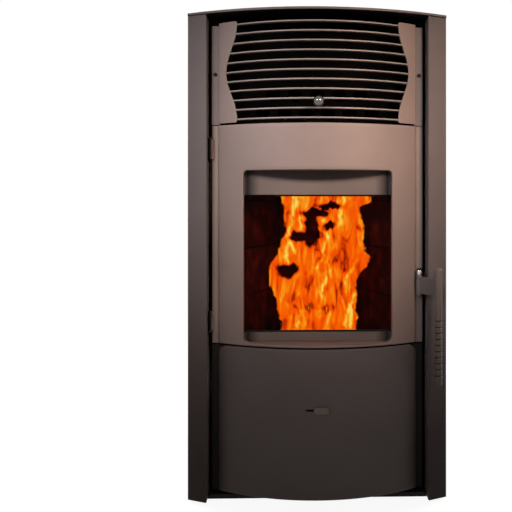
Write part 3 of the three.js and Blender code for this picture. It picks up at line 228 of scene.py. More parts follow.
def spread(tree, source, low, high, start=0.0, end=1.0):
    """Maps the range start to end evenly onto low to high, and holds what lies outside it."""
    node = tree.nodes.new("ShaderNodeMapRange")
    node.inputs["From Min"].default_value = start
    node.inputs["From Max"].default_value = end
    node.inputs["To Min"].default_value = low
    node.inputs["To Max"].default_value = high
    tree.links.new(source, node.inputs["Value"])
    return node.outputs["Result"]


def math_node(tree, operation, first, second):
    """One arithmetic step between a socket and a socket or a number."""
    node = tree.nodes.new("ShaderNodeMath")
    node.operation = operation
    for socket, value in zip(node.inputs, (first, second)):
        if isinstance(value, (int, float)):
            socket.default_value = value
        else:
            tree.links.new(value, socket)
    return node.outputs[0]


def along(tree, axis):
    """X, Y or Z of the point's place on its own object."""
    parts = tree.nodes.new("ShaderNodeSeparateXYZ")
    tree.links.new(own_place(tree), parts.inputs["Vector"])
    return parts.outputs[axis]


def blend_base_colour(material, amount, dark, keep_at):
    """Blends a material's colour with a dark one: the colour stays where the amount is keep_at,
    which is 0 or 1, and the other end of the amount is dark."""
    tree, shader = material.node_tree, material.node_tree.nodes["Principled BSDF"]
    mixed = tree.nodes.new("ShaderNodeMix")
    mixed.data_type = "RGBA"
    factor, at_zero, at_one = mixed.inputs[0], mixed.inputs[6], mixed.inputs[7]
    kept, darkened = (at_one, at_zero) if keep_at else (at_zero, at_one)
    darkened.default_value = (*dark, 1)
    tree.links.new(amount, factor)
    tree.links.new(shader.inputs["Base Color"].links[0].from_socket, kept)
    tree.links.new(mixed.outputs[2], shader.inputs["Base Color"])
    return material


def add_bump(tree, shader, height, strength, distance):
    """Feeds a height to the shader's normal."""
    node = tree.nodes.new("ShaderNodeBump")
    node.inputs["Strength"].default_value = strength
    node.inputs["Distance"].default_value = distance
    tree.links.new(height, node.inputs["Height"])
    tree.links.new(node.outputs["Normal"], shader.inputs["Normal"])


def lined(material, first, pitch, count, thin, thick, dark):
    """Draws level dark lines at z = first + k x pitch, for k from 0 to count - 1, over a
    material's colour. Height is held to the lined band, then folded to its distance from a line,
    which is dark up to the thin distance and clear from the thick one."""
    tree = material.node_tree
    held = math_node(tree, "MAXIMUM", along(tree, "Z"), first - pitch / 2)
    held = math_node(tree, "MINIMUM", held, first + (count - 0.5) * pitch)
    away = math_node(tree, "PINGPONG", math_node(tree, "SUBTRACT", held, first), pitch / 2)
    return blend_base_colour(material, spread(tree, away, 0.0, 1.0, thin, thick), dark, keep_at=1)


def shaded(colour, factor):
    """A colour made darker or lighter."""
    return tuple(min(1.0, channel * factor) for channel in colour)


CLOUD_SCALE = 9.0  # cells of noise in a metre, as are the next three
GLOSS_SCALE = 60.0
PEEL_SCALE = 900.0
GRAIN_SCALE = 220.0
GLOSS_SWING = 0.06
PEEL_DEPTH = 0.0004
GRAIN_DEPTH = 0.0003


def paint(name, colour, roughness=0.5, metallic=0.3, peel=0.12, cloud=0.1, specular=0.35):
    """Powder coat: cloudy colour, uneven gloss and an orange-peel skin."""
    material, tree, shader = new_material(name)
    clouds = noise(tree, CLOUD_SCALE, 4.0)
    colours = ramp(tree, clouds, [(0.3, shaded(colour, 1 - cloud)), (0.7, shaded(colour, 1 + cloud))])
    tree.links.new(colours, shader.inputs["Base Color"])
    uneven = spread(tree, noise(tree, GLOSS_SCALE, 4.0), roughness - GLOSS_SWING, roughness + GLOSS_SWING)
    tree.links.new(uneven, shader.inputs["Roughness"])
    shader.inputs["Metallic"].default_value = metallic
    shader.inputs["Specular IOR Level"].default_value = specular
    add_bump(tree, shader, noise(tree, PEEL_SCALE, 2.0), peel, PEEL_DEPTH)
    return material


def metal(name, colour, roughness, grain=(1, 1, 1), scratch=0.08):
    """Bare or plated metal with a directional grain."""
    material, tree, shader = new_material(name)
    lines = noise(tree, GRAIN_SCALE, 5.0, 0.6, grain)
    tree.links.new(ramp(tree, lines, [(0.3, shaded(colour, 0.86)), (0.7, shaded(colour, 1.08))]),
                   shader.inputs["Base Color"])
    tree.links.new(spread(tree, lines, roughness * 0.75, roughness * 1.3), shader.inputs["Roughness"])
    shader.inputs["Metallic"].default_value = 1.0
    add_bump(tree, shader, lines, scratch, GRAIN_DEPTH)
    return material


# %% Finishes of this stove
# The door, the casing and the drawer front wear one brown powder coat. Its three copies here differ in
# colour only as painted light and shade: the door's copy is lighter, the casing's darker and the drawer's
# darkest.
lit_copy_brown_coat = paint("brown_coat_lit_copy", (0.262, 0.188, 0.160), 0.5, 0.05, cloud=0.06, specular=0.10)
shaded_copy_brown_coat = paint("brown_coat_shaded_copy", (0.166, 0.130, 0.119), 0.55, 0.0, cloud=0.05, specular=0.05)
darkest_shaded_copy_brown_coat = paint("brown_coat_darkest_shaded_copy", (0.120, 0.094, 0.087), 0.52, 0.2, cloud=0.06, specular=0.05)
frame_paint = paint("inner_frame_paint", (0.190, 0.145, 0.122), 0.55, 0.1, specular=0.10)
black_paint = paint("black_stove_paint", (0.010, 0.010, 0.011), 0.6, 0.0, peel=0.2, cloud=0.2, specular=0.12)
fin_paint = paint("fin_powder_coat", (0.27, 0.21, 0.18), 0.45, 0.1, specular=0.12)
GRIP_COLOUR = (0.190, 0.150, 0.130)
grip_paint = paint("grip_enamel", GRIP_COLOUR, 0.5, 0.0, specular=0.05)
backing_paint = paint("shadow_black_paint", (0.020, 0.017, 0.016), 0.6, 0.0, specular=0.05)
galvanised = metal("galvanised_sheet", (0.45, 0.46, 0.47), 0.42, (1, 1, 6))
stove_iron = paint("heat_darkened_steel", (0.024, 0.022, 0.022), 0.62, 0.3, peel=0.5, cloud=0.35,
                   specular=0.15)
# Near-black: real soot inside the firebox, and painted shade on the outlet box between the louvre's fins.
soot = paint("soot_and_painted_shade_black", (0.0022, 0.0018, 0.0016), 0.9, 0.0, peel=0.5, cloud=0.4, specular=0.01)
chrome = metal("polished_chrome", (0.42, 0.40, 0.38), 0.12, scratch=0.01)
dark_chrome = metal("knob_black_chrome", (0.14, 0.13, 0.115), 0.14, scratch=0.01)
black_plastic = paint("moulded_black_plastic", (0.014, 0.014, 0.015), 0.5, 0.0, peel=0.3, cloud=0.15,
                      specular=0.3)
button_plastic = paint("button_plastic", (0.30, 0.30, 0.31), 0.35, 0.0, peel=0.05, cloud=0.06, specular=0.4)
rope = paint("woven_rope", (0.085, 0.080, 0.074), 0.95, 0.0, peel=0.9, cloud=0.35, specular=0.1)
# Near-black for painted shade in recesses, gaps and undersides.
PAINTED_SHADE_COLOUR = (0.006, 0.005, 0.005)


def painted_shade_along(name, colour, axis, low, high, stops):
    """Paint with painted shade: along one axis, from low to high, a ramp of (share, shade)
    blends the paint towards near-black."""
    material = paint(name, colour, 0.55, 0.1, specular=0.10)
    tree = material.node_tree
    share = spread(tree, along(tree, axis), 0.0, 1.0, low, high)
    amount = ramp(tree, share, [(place, (shade_amount,) * 3) for place, shade_amount in stops])
    return blend_base_colour(material, amount, PAINTED_SHADE_COLOUR, keep_at=0)


# Painted shade: the inner frame is darkened at both sides of its window, less across the window between
# them, and at its hinge knuckles, where shade falls in the recess and the gap; the top plate is darkened on
# its underside, where the gap above the columns lies in shadow.
frame_paint_painted_shade = painted_shade_along("frame_paint_with_painted_shade", (0.230, 0.168, 0.140), "X", -0.25, 0.25, [
    (0.066, 1), (0.0695, 0), (0.185, 0), (0.215, 1), (0.265, 0.35), (0.735, 0.35), (0.785, 1), (0.815, 0)])
top_paint = painted_shade_along("top_plate_paint", (0.150, 0.115, 0.100), "Z", 0.990, 1.000,
                           [(0.14, 1), (0.20, 0)])
print("materials:", len(bpy.data.materials))


# %% [markdown]
# ## Edges on the sheet metal
# The real panels are folded and powder coated, so every edge is a little round and shows as a fine
# bright or dark line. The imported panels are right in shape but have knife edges. They could be
# modelled again, but a copy is enough: it is merged, its flat faces are joined up, and a small bevel
# catches the light as a folded edge does.

# %% Panels with softened edges
FLAT_ANGLE = math.radians(0.6)  # faces that meet at less than this are one flat face


def refined(node, body, slot, material, width=0.0008, angle=30):
    """A merged copy of a CAD node with rounded edges, which takes the node's place."""
    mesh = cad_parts[node].data.copy()
    shape = bmesh.new()
    shape.from_mesh(mesh)
    bmesh.ops.remove_doubles(shape, verts=shape.verts, dist=2 * SAME_POINT)
    bmesh.ops.dissolve_limit(shape, angle_limit=FLAT_ANGLE, verts=shape.verts, edges=shape.edges)
    shape.to_mesh(mesh)
    shape.free()
    piece = scene_object(node + "_finished", mesh)
    smooth(bevel(piece, width, angle), angle)
    flat_faces = piece.modifiers.new("flat_faces_stay_flat", "WEIGHTED_NORMAL")
    flat_faces.keep_sharp = True
    return dress(piece, body, slot, material, node)


for side in ("left", "right"):
    refined(f"front_column_{side}", "root", "casing_paint", shaded_copy_brown_coat, 0.0009, 40)
    refined(f"side_panel_{side}", "root", "casing_paint", shaded_copy_brown_coat, 0.0007)
refined("top_plate", "root", "casing_paint", top_paint, 0.0012, 25)
refined("rear_panel", "root", "black_paint", black_paint, 0.0004)
refined("hopper_lid", "lid", "black_paint", black_paint, 0.0009, 40)
refined("hopper_lid_handle", "lid", "chrome", chrome, 0.0016, 40)
refined("control_housing", "root", "black_plastic", black_plastic, 0.0007, 40)
refined("handle_bracket", "handle", "grip_paint", grip_paint, 0.0009, 40)
refined("handle_pivot_mount", "door", "dark_paint", frame_paint, 0.0006, 40)
refined("door_inner_frame", "door", "dark_paint", frame_paint_painted_shade, 0.0006, 40)
refined("latch_keeper", "root", "zinc_steel", galvanised, 0.0008)
refined("drawer_latch_tab", "drawer_latch", "casing_paint", lit_copy_brown_coat, 0.0006, 40)
for side in ("front_left", "front_right", "rear_left", "rear_right"):
    refined(f"foot_{side}", "root", "black_plastic", black_plastic, 0.001, 40)
for number in (1, 2, 3):
    refined(f"control_button_{number}", f"button_{number}", "button_plastic", button_plastic, 0.0006, 40)


# %% [markdown]
# ## The bowed fronts
# Door and drawer share one curve: a plate rolled to a radius of 370 mm. A flat plate could be bent
# and its hole cut out afterwards, which leaves ragged faces. Each is instead a ring of points that
# runs from its outer edge in to a hole, the window or the drawer's slot, and takes its depth from
# the roll. The door's ring carries on round a lip and back into a flange.

# %% The rolled surface
BOW_RADIUS = 0.370
BOW_SETBACK = 0.008
door_low, door_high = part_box("door_outer_plate")
drawer_low, drawer_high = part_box("ash_drawer_front")
FRONT_HALF = door_high.x
bow_centre = FRONT_Y + BOW_SETBACK + BOW_RADIUS


def bow(x):
    """Depth of the rolled front at x: the near side of a circle seen from above."""
    return bow_centre - np.sqrt(BOW_RADIUS ** 2 - np.asarray(x) ** 2)


def rounded_rectangle(x0, x1, z0, z1, lower, upper, per_side=24, per_corner=8):
    """Points round a rectangle with arcs for corners, the same count whatever the radii. Each side
    is a straight run and each corner a quarter circle, of the lower or the upper radius."""
    centres = [(x0 + lower, z0 + lower, lower, 180), (x1 - lower, z0 + lower, lower, 270),
               (x1 - upper, z1 - upper, upper, 0), (x0 + upper, z1 - upper, upper, 90)]
    corners = []
    for cx, cz, radius, start in centres:
        turn = np.radians(start + np.linspace(0, 90, per_corner))
        corners.append(np.stack([cx + radius * np.cos(turn), cz + radius * np.sin(turn)], axis=-1))
    runs = []
    for k, corner in enumerate(corners):
        following = corners[(k + 1) % 4][0]
        step = np.linspace(0, 1, per_side + 2)[1:-1, None]
        runs += [corner, corner[-1] + (following - corner[-1]) * step]
    return np.concatenate(runs)


def rolled_plate(name, outer, hole, rows, rim=0.0016, edge_depth=0.003, flange_y=None):
    """A rolled plate between an outer outline and a hole.
    Rows of points run from the folded outer edge over the face to the hole's lip; between the
    two outlines each row is a straight blend, and y comes from the roll."""
    middle = (outer.max(axis=0) + outer.min(axis=0)) / 2
    inward = np.sign(middle - outer) * rim
    hole_middle = (hole.max(axis=0) + hole.min(axis=0)) / 2
    levels = []
    for back, pull in ((edge_depth, 0.0), (rim, 0.0), (rim * 0.3, 0.3), (0.0, 1.0)):
        flat = outer + inward * pull
        levels.append((flat, bow(flat[:, 0]) + back))
    start = outer + inward
    grown = hole_middle + (hole - hole_middle) * (1 + rim / np.abs(hole - hole_middle).max())
    for share in np.linspace(0, 1, rows)[1:]:
        flat = start + (grown - start) * share
        levels.append((flat, bow(flat[:, 0])))
    levels.append(((hole + grown) / 2, bow(hole[:, 0]) + rim * 0.3))
    levels.append((hole, bow(hole[:, 0]) + rim))
    if flange_y is None:
        levels.append((hole, bow(hole[:, 0]) + edge_depth))
    else:
        for share in np.linspace(0, 1, 6)[1:]:
            face = bow(hole[:, 0]) + rim
            levels.append((hole, face + (flange_y - face) * share))
    points = np.stack([np.stack([flat[:, 0], y, flat[:, 1]], axis=-1) for flat, y in levels])
    return mesh_object(name, points, grid_faces(len(levels), len(outer), ring=True))


def thicken(piece, thickness):
    """Gives a surface its sheet thickness, on the side away from its normals."""
    wall = piece.modifiers.new("sheet_thickness", "SOLIDIFY")
    wall.thickness = thickness
    wall.offset = -1
    wall.use_even_offset = True
    return piece


# %% The fire door's plate
WINDOW_HALF = 0.150
WINDOW_HEIGHT = 0.3475
WINDOW_SILL = 0.005
window_bottom = door_low.z + WINDOW_SILL
window_top = window_bottom + WINDOW_HEIGHT
DOOR_THICKNESS = 0.002
DOOR_CORNER = 0.001
WINDOW_CORNERS = (0.014, 0.008)  # lower and upper
PER_SIDE = 30  # points along each side of the door's and the drawer's outlines
door_outline = rounded_rectangle(-FRONT_HALF, FRONT_HALF, door_low.z, door_high.z,
                                 DOOR_CORNER, DOOR_CORNER, PER_SIDE)
window_outline = rounded_rectangle(-WINDOW_HALF, WINDOW_HALF, window_bottom, window_top,
                                   *WINDOW_CORNERS, PER_SIDE)
flange_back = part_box("door_inner_frame")[0].y - CLEARANCE
door_plate = rolled_plate("door_plate", door_outline, window_outline, 14, flange_y=flange_back)
smooth(door_plate, 50)
dress(thicken(door_plate, DOOR_THICKNESS), "door", "casing_paint", lit_copy_brown_coat, "door_outer_plate")
print("door plate points:", len(door_plate.data.vertices))


# %% [markdown]
# ## The ash drawer's front
# The front of the ash drawer is the same rolled plate, with rounded upper corners. It could be one
# surface with the door, but it has to slide out on its own, so it gets its own ring, which closes on
# the slot of its tab. A flat near-black plate behind it shows as a dark strip of painted shade at each side.

# %% The drawer's plate and the flat plate behind it
tab_low, tab_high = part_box("drawer_latch_tab")
TAB_TRAVEL = 0.015
SLOT_HALF = 0.002
SLOT_CORNER = 0.0012
DRAWER_THICKNESS = 0.0022
DRAWER_CORNERS = (0.003, 0.019)  # lower and upper
slot_z = (tab_low.z + tab_high.z) / 2
slot_outline = rounded_rectangle(tab_low.x - TAB_TRAVEL, tab_high.x, slot_z - SLOT_HALF, slot_z + SLOT_HALF,
                                 SLOT_CORNER, SLOT_CORNER, PER_SIDE)
drawer_outline = rounded_rectangle(-FRONT_HALF, FRONT_HALF, drawer_low.z, drawer_high.z,
                                   *DRAWER_CORNERS, PER_SIDE)
drawer_plate = rolled_plate("drawer_plate", drawer_outline, slot_outline, 30, rim=0.0012)
smooth(drawer_plate, 50)
dress(thicken(drawer_plate, DRAWER_THICKNESS), "ash_drawer", "dark_paint", darkest_shaded_copy_brown_coat, "ash_drawer_front")


def flat_plate(name, x0, x1, z0, z1, y0, y1, corner=0.002):
    """A flat rectangular plate: its outline is repeated at both faces and closed with two lids."""
    outline = rounded_rectangle(x0, x1, z0, z1, corner, corner, 4, 4)
    count = len(outline)
    faces = [np.column_stack([outline[:, 0], np.full(count, y), outline[:, 1]]) for y in (y0, y1)]
    sides = grid_faces(2, count, ring=True).tolist()
    lids = [list(range(count))[::-1], list(range(count, 2 * count))]
    return joined(name, [(np.stack(faces), sides + lids)])


# The plate behind the drawer front is near-black as painted shade in the gaps at its sides.
BACKING_THICKNESS = 0.0037
drawer_back_plate = flat_plate("drawer_backing_plate", -drawer_high.x, drawer_high.x, drawer_low.z,
                               drawer_high.z, drawer_high.y - BACKING_THICKNESS, drawer_high.y)
smooth(bevel(tidy_normals(drawer_back_plate), 0.0006), 40)
dress(drawer_back_plate, "ash_drawer", "dark_paint", backing_paint)
print("drawer plate points:", len(drawer_plate.data.vertices))


# %% [markdown]
# ## The louvre
# Warm air leaves between eleven fins that follow the roll of the door below. Bars could be bent with
# a curve object, but each is one flat oval section carried along an arc, so a single grid function
# makes them all and keeps them exactly in step. Two cheeks with a waisted inner edge hold them.

# %% Fins, cheeks and strips
louvre_low, louvre_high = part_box("louvre_grille")
FIN_COUNT = 11
FIN_PITCH = 0.0192
FIN_HEIGHT = 0.0036
FIN_DEPTH = 0.011
FIN_SETBACK = 0.001
FIN_HALF = 0.194
TOP_FIN_DROP = 0.0067
LOUVRE_HEIGHT = 0.205
louvre_bottom = louvre_high.z - LOUVRE_HEIGHT
top_fin_z = louvre_bottom + LOUVRE_HEIGHT - TOP_FIN_DROP
CHEEK_OUTER = 0.202
CHEEK_MOUTH = 0.164
CHEEK_WAIST = 0.187
CHEEK_CORNER = 0.004
CHEEK_THICKNESS = 0.0022


def fin(z, stations=72, section=12):
    """One fin: a rounded section, wide in depth and thin in height, carried along the roll. The
    section is a circle whose sine and cosine are taken to the power 1/2, which squares it up."""
    x = np.linspace(-FIN_HALF, FIN_HALF, stations)
    turn = np.linspace(0, 2 * np.pi, section, endpoint=False)
    inset = FIN_SETBACK + FIN_DEPTH * (0.5 - 0.5 * np.sign(np.cos(turn)) * np.abs(np.cos(turn)) ** 0.5)
    rise = FIN_HEIGHT / 2 * np.sign(np.sin(turn)) * np.abs(np.sin(turn)) ** 0.5
    radius = BOW_RADIUS - inset[None, :]
    y = bow_centre - np.sqrt(radius ** 2 - x[:, None] ** 2)
    x, z = np.broadcast_to(x[:, None], y.shape), np.broadcast_to(z + rise[None, :], y.shape)
    faces = grid_faces(stations, section, ring=True).tolist()
    last = (stations - 1) * section
    ends = [list(range(section))[::-1], list(range(last, last + section))]
    return np.stack([x, y, z], -1), faces + ends


fins = joined("louvre_fins", [fin(top_fin_z - k * FIN_PITCH) for k in range(FIN_COUNT)])
smooth(tidy_normals(fins), 50)
dress(fins, "root", "casing_paint", fin_paint, "louvre_grille")


def faces_out(piece):
    """Turns an open sheet so that its faces look to the front."""
    normals = np.zeros(len(piece.data.polygons) * 3)
    piece.data.polygons.foreach_get("normal", normals)
    if normals.reshape(-1, 3)[:, 1].mean() > 0:
        piece.data.flip_normals()
    return piece


def cheek(side, columns=12):
    """A side plate: for each height, points run from the waisted inner edge to the straight outer
    one. The inner edge widens and narrows as one smooth cosine wave, and its two ends are rounded
    off by quarter circles."""
    end = 1 - np.cos(np.linspace(0, np.pi / 2, 9))
    between = np.linspace(CHEEK_CORNER, LOUVRE_HEIGHT - CHEEK_CORNER, 62)[1:-1]
    rise = np.concatenate([CHEEK_CORNER * end, between, LOUVRE_HEIGHT - CHEEK_CORNER * end[::-1]])
    height = rise / LOUVRE_HEIGHT
    wave = (0.5 - 0.5 * np.cos(2 * np.pi * height)) ** 1.2
    to_end = np.clip(np.minimum(rise, LOUVRE_HEIGHT - rise), 0, CHEEK_CORNER)
    corner = CHEEK_CORNER - np.sqrt(CHEEK_CORNER ** 2 - (CHEEK_CORNER - to_end) ** 2)
    inner = CHEEK_MOUTH + (CHEEK_WAIST - CHEEK_MOUTH) * wave + corner
    share = np.linspace(0, 1, columns)
    x = side * (inner[:, None] + (CHEEK_OUTER - inner[:, None]) * share)
    z = np.broadcast_to((louvre_bottom + rise)[:, None], x.shape)
    piece = mesh_object("louvre_cheek_" + ("left" if side < 0 else "right"),
                        np.stack([x, bow(x), z], -1), grid_faces(len(rise), columns))
    thicken(faces_out(piece), CHEEK_THICKNESS)
    smooth(bevel(piece, 0.0006, 40), 50)
    return dress(piece, "root", "casing_paint", lit_copy_brown_coat)


STRIP_LAP = 0.002
STRIP_DROP = 0.005
STRIP_THICKNESS = 0.003


def strip(side):
    """A narrow upright strip that closes the gap between a cheek and the column beside it."""
    x0, x1 = sorted((side * (CHEEK_OUTER - STRIP_LAP), side * drawer_high.x))
    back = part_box("outlet_box")[0].y - CLEARANCE
    piece = flat_plate("louvre_strip_" + ("left" if side < 0 else "right"), x0, x1,
                       louvre_low.z, louvre_high.z - STRIP_DROP, back - STRIP_THICKNESS, back, 0.001)
    smooth(bevel(tidy_normals(piece), 0.0005), 40)
    return dress(piece, "root", "casing_paint", shaded_copy_brown_coat)


for make in (cheek, strip):
    make(-1)
    make(1)
print("louvre:", FIN_COUNT, "fins over", round(LOUVRE_HEIGHT, 3), "m")


# %% [markdown]
# ## Turned parts
# The knob of the cleaning rod, the bar of the handle, its pin and the screws come off a lathe. They
# could be built from stacked cylinders, but a lathe follows one profile, and so does this: radius
# against height, repeated round a circle, with the roundings in the profile itself.

# %% The lathe, and the knob on its collar
def turned(name, profile, centre, axis, around=48):
    """A profile of (radius, height) rows swept round a unit axis that starts at a centre point."""
    radius, height = np.asarray(profile, float).T
    axis = np.asarray(axis, float)
    side = np.cross(axis, (0, 0, 1) if abs(axis[2]) < 0.9 else (1, 0, 0))
    side /= np.linalg.norm(side)
    other = np.cross(axis, side)
    angle = np.linspace(0, 2 * np.pi, around, endpoint=False)
    spoke = np.cos(angle)[:, None] * side + np.sin(angle)[:, None] * other
    points = np.asarray(centre) + radius[:, None, None] * spoke + height[:, None, None] * axis
    return tidy_normals(mesh_object(name, points, grid_faces(len(radius), around, ring=True)))


def ball_profile(radius, steps=24):
    """A half circle from pole to pole."""
    angle = np.linspace(-np.pi / 2, np.pi / 2, steps)
    return np.column_stack([radius * np.cos(angle), radius * np.sin(angle)])


knob_low, knob_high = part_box("cleaning_knob")
knob_radius = (knob_high.x - knob_low.x) / 2
knob_centre = (0, knob_low.y + knob_radius, (knob_low.z + knob_high.z) / 2)
knob = turned("knob_ball", ball_profile(knob_radius), knob_centre, (0, 1, 0), 56)
dress(smooth(knob, 60), "tube_cleaner", "chrome", dark_chrome, "cleaning_knob")
COLLAR_RADIUS = 0.0062
COLLAR_LENGTH = 0.0048
COLLAR_CHAMFER = 0.0008
COLLAR_FACE = 0.0056
collar_profile = [(0.0, 0.0), (COLLAR_FACE, 0.0), (COLLAR_RADIUS, COLLAR_CHAMFER),
                  (COLLAR_RADIUS, COLLAR_LENGTH - COLLAR_CHAMFER), (COLLAR_FACE, COLLAR_LENGTH),
                  (0.0, COLLAR_LENGTH)]
collar_start = (0, knob_high.y - COLLAR_CHAMFER, knob_centre[2])
collar = turned("knob_collar", collar_profile, collar_start, (0, 1, 0), 40)
dress(smooth(collar, 40), "tube_cleaner", "chrome", chrome)
print("knob radius:", round(knob_radius, 4))


# %% The handle bar with its ringed grip
grip_low, grip_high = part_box("handle_grip")
GRIP_RADIUS = 0.0075
DOME_HEIGHT = 0.006
GROOVE_COUNT = 10
GROOVE_PITCH = 0.012
GROOVE_START = 0.022
GROOVE_DEPTH = 0.0014
GROOVE_WIDTH = 0.0014
RING_SHADOW = (0.015, 0.012, 0.011)
grip_length = grip_high.z - grip_low.z
past_dome = DOME_HEIGHT + 0.0005
height = np.concatenate([np.linspace(0, DOME_HEIGHT, 10),
                         np.linspace(past_dome, grip_length - past_dome, 620),
                         np.linspace(grip_length - DOME_HEIGHT, grip_length, 10)])
end_gap = np.minimum(height, grip_length - height)
dome = np.sqrt(np.clip(1 - (1 - np.clip(end_gap / DOME_HEIGHT, 0, 1)) ** 2, 0, 1))
from_first = (height - GROOVE_START) / GROOVE_PITCH
nearest = np.abs(from_first - np.clip(np.round(from_first), 0, GROOVE_COUNT - 1)) * GROOVE_PITCH
groove = GROOVE_DEPTH * np.exp(-(nearest / GROOVE_WIDTH) ** 2)
grip_centre = ((grip_low.x + grip_high.x) / 2, (grip_low.y + grip_high.y) / 2, grip_low.z)
grip = turned("handle_bar", np.column_stack([GRIP_RADIUS * dome - groove * (dome > 0.9), height]),
              grip_centre, (0, 0, 1), 40)
# The grooves are cut in the bar and also drawn as dark rings of painted shadow.
grip_paint_groove_shadow = paint("grip_enamel_painted_groove_shadow", GRIP_COLOUR, 0.5, 0.0, specular=0.05)
lined(grip_paint_groove_shadow, grip_low.z + GROOVE_START, GROOVE_PITCH, GROOVE_COUNT, 0.0004, GROOVE_WIDTH, RING_SHADOW)
dress(smooth(grip, 60), "handle", "grip_paint", grip_paint_groove_shadow, "handle_grip")
print("handle bar points:", len(grip.data.vertices))


# %% Screws of the louvre
SCREW_RADIUS = 0.0040
SCREW_DEPTH = 0.0028


def round_screw(name, node):
    """A domed screw head with a recess in the middle, facing the front."""
    low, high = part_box(node)
    centre = ((low.x + high.x) / 2, high.y, (low.z + high.z) / 2)
    radius, depth = SCREW_RADIUS, SCREW_DEPTH
    profile = [(0.0, 0.0), (radius, 0.0), (radius, depth * 0.3), (radius * 0.93, depth * 0.6),
               (radius * 0.7, depth * 0.9), (radius * 0.42, depth), (radius * 0.36, depth * 0.98),
               (radius * 0.3, depth * 0.45), (0.0, depth * 0.4)]
    screw = turned(name, profile, centre, (0, -1, 0), 32)
    return dress(smooth(screw, 40), "root", "zinc_steel", black_paint, node)


for side in ("left", "right"):
    screw = round_screw(f"louvre_screw_{side}", f"grille_screw_{side}")
    print(screw.name, "radius", SCREW_RADIUS)


# %% Chrome hinge pin of the handle
pin_low, pin_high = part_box("handle_pin")
pin_centre = ((pin_low.x + pin_high.x) / 2, (pin_low.y + pin_high.y) / 2, pin_low.z)
pin_length = pin_high.z - pin_low.z
HEAD_HEIGHT = 0.0094
PIN_RADIUS = 0.003
HEAD_RADIUS = 0.007
head_start = pin_length - HEAD_HEIGHT
pin = turned("handle_pin_turned", [
    (0.0, 0.0), (PIN_RADIUS * 0.8, 0.0), (PIN_RADIUS, 0.0006), (PIN_RADIUS, head_start),
    (HEAD_RADIUS * 0.93, head_start), (HEAD_RADIUS, head_start + 0.0006), (HEAD_RADIUS, pin_length - 0.0016),
    (HEAD_RADIUS * 0.9, pin_length - 0.0005), (HEAD_RADIUS * 0.75, pin_length), (0.0, pin_length),
], pin_centre, (0, 0, 1), 40)
dress(smooth(pin, 40), "door", "chrome", chrome, "handle_pin")
print("pin length:", round(pin_length, 4))


# %% [markdown]
# ## The firebox
# Firebrick is sooty and rough, and glows dull red where firelight reaches it. The glow could be
# painted on as emission, but it wouldn't follow the fire, so the brick stays a warm, dark colour
# that a small orange lamp in the flames lights. The glass is nearly clear with a faint smoke tint.

# %% Brick and glass
COURSE = 0.1015
JOINT_COUNT = 4
TOP_JOINT_DROP = 0.024
first_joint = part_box("firebox_back_liner")[1].z - TOP_JOINT_DROP - (JOINT_COUNT - 1) * COURSE
JOINT_SHADOW = (0.0008, 0.0004, 0.0003)


def brick_finish():
    """Rough firebrick: blotches of soot over reddish board, with pits and level joints."""
    material, tree, shader = new_material("sooty_firebrick")
    blotches = noise(tree, 30.0, 6.0, 0.65)
    colours = ramp(tree, blotches, [(0.30, (0.006, 0.0010, 0.0006)), (0.5, (0.026, 0.0028, 0.0014)),
                                    (0.72, (0.085, 0.008, 0.0035))])
    tree.links.new(colours, shader.inputs["Base Color"])
    shader.inputs["Roughness"].default_value = 0.95
    shader.inputs["Specular IOR Level"].default_value = 0.0
    add_bump(tree, shader, noise(tree, 160.0, 6.0, 0.7), 0.8, 0.002)
    return lined(material, first_joint, COURSE, JOINT_COUNT, 0.0006, 0.0022, JOINT_SHADOW)


def glass_finish():
    """Thin clear glass: mostly see-through, with a dark, glossy skin."""
    material, tree, shader = new_material("ceramic_glass")
    shader.inputs["Base Color"].default_value = (0.006, 0.004, 0.003, 1)
    smears = noise(tree, 14.0, 4.0, 0.6, (1, 1, 0.4))
    tree.links.new(spread(tree, smears, 0.02, 0.10), shader.inputs["Roughness"])
    shader.inputs["Specular IOR Level"].default_value = 0.2
    shader.inputs["Alpha"].default_value = 0.05
    return material


firebrick = brick_finish()
clear_glass = glass_finish()
print("lowest brick joint at z", round(first_joint, 4))


# %% The display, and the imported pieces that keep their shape
def display_finish():
    """A dark display window with a row of faint lit segments: bands of a wave texture."""
    material, tree, shader = new_material("display_window")
    shader.inputs["Base Color"].default_value = (0.008, 0.010, 0.012, 1)
    tree.links.new(spread(tree, noise(tree, 300.0), 0.08, 0.2), shader.inputs["Roughness"])
    segments = tree.nodes.new("ShaderNodeTexWave")
    segments.inputs["Scale"].default_value = 60.0
    segments.inputs["Distortion"].default_value = 0.0
    tree.links.new(own_place(tree), segments.inputs["Vector"])
    lit = ramp(tree, segments.outputs["Fac"], [(0.80, (0, 0, 0)), (0.86, (0.02, 0.16, 0.20))])
    tree.links.new(lit, shader.inputs["Emission Color"])
    shader.inputs["Emission Strength"].default_value = 0.6
    return material


def repaint(material, *nodes):
    """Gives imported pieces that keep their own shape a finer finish."""
    for name in nodes:
        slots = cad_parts[name].data.materials
        slots.clear()
        slots.append(material)
    print(material.name, "on", len(nodes), "pieces")


repaint(firebrick, "firebox_back_liner", "firebox_side_liner_left", "firebox_side_liner_right")
repaint(clear_glass, "door_glass")
repaint(display_finish(), "control_display")
repaint(black_paint, "base_pan", "glass_retainer", "flue_collar", "hinge_pin_upper", "hinge_pin_lower")
repaint(stove_iron, "burn_pot", "exhaust_duct", "auger_tube", "auger_screw")
# The outlet box shows between the louvre's fins, near-black as painted shade; the firebox parts carry real
# soot.
repaint(soot, "firebox_shell", "heat_exchanger", "scraper_plate", "outlet_box")
repaint(galvanised, "hopper", "auger_motor", "exhaust_blower_housing", "exhaust_impeller", "air_inlet_pipe",
        "igniter", "room_blower_housing", "room_blower_wheel", "ash_drawer_box")
repaint(chrome, "cleaning_rod")
repaint(rope, "door_gasket", "hopper_gasket")
repaint(black_plastic, "power_inlet")


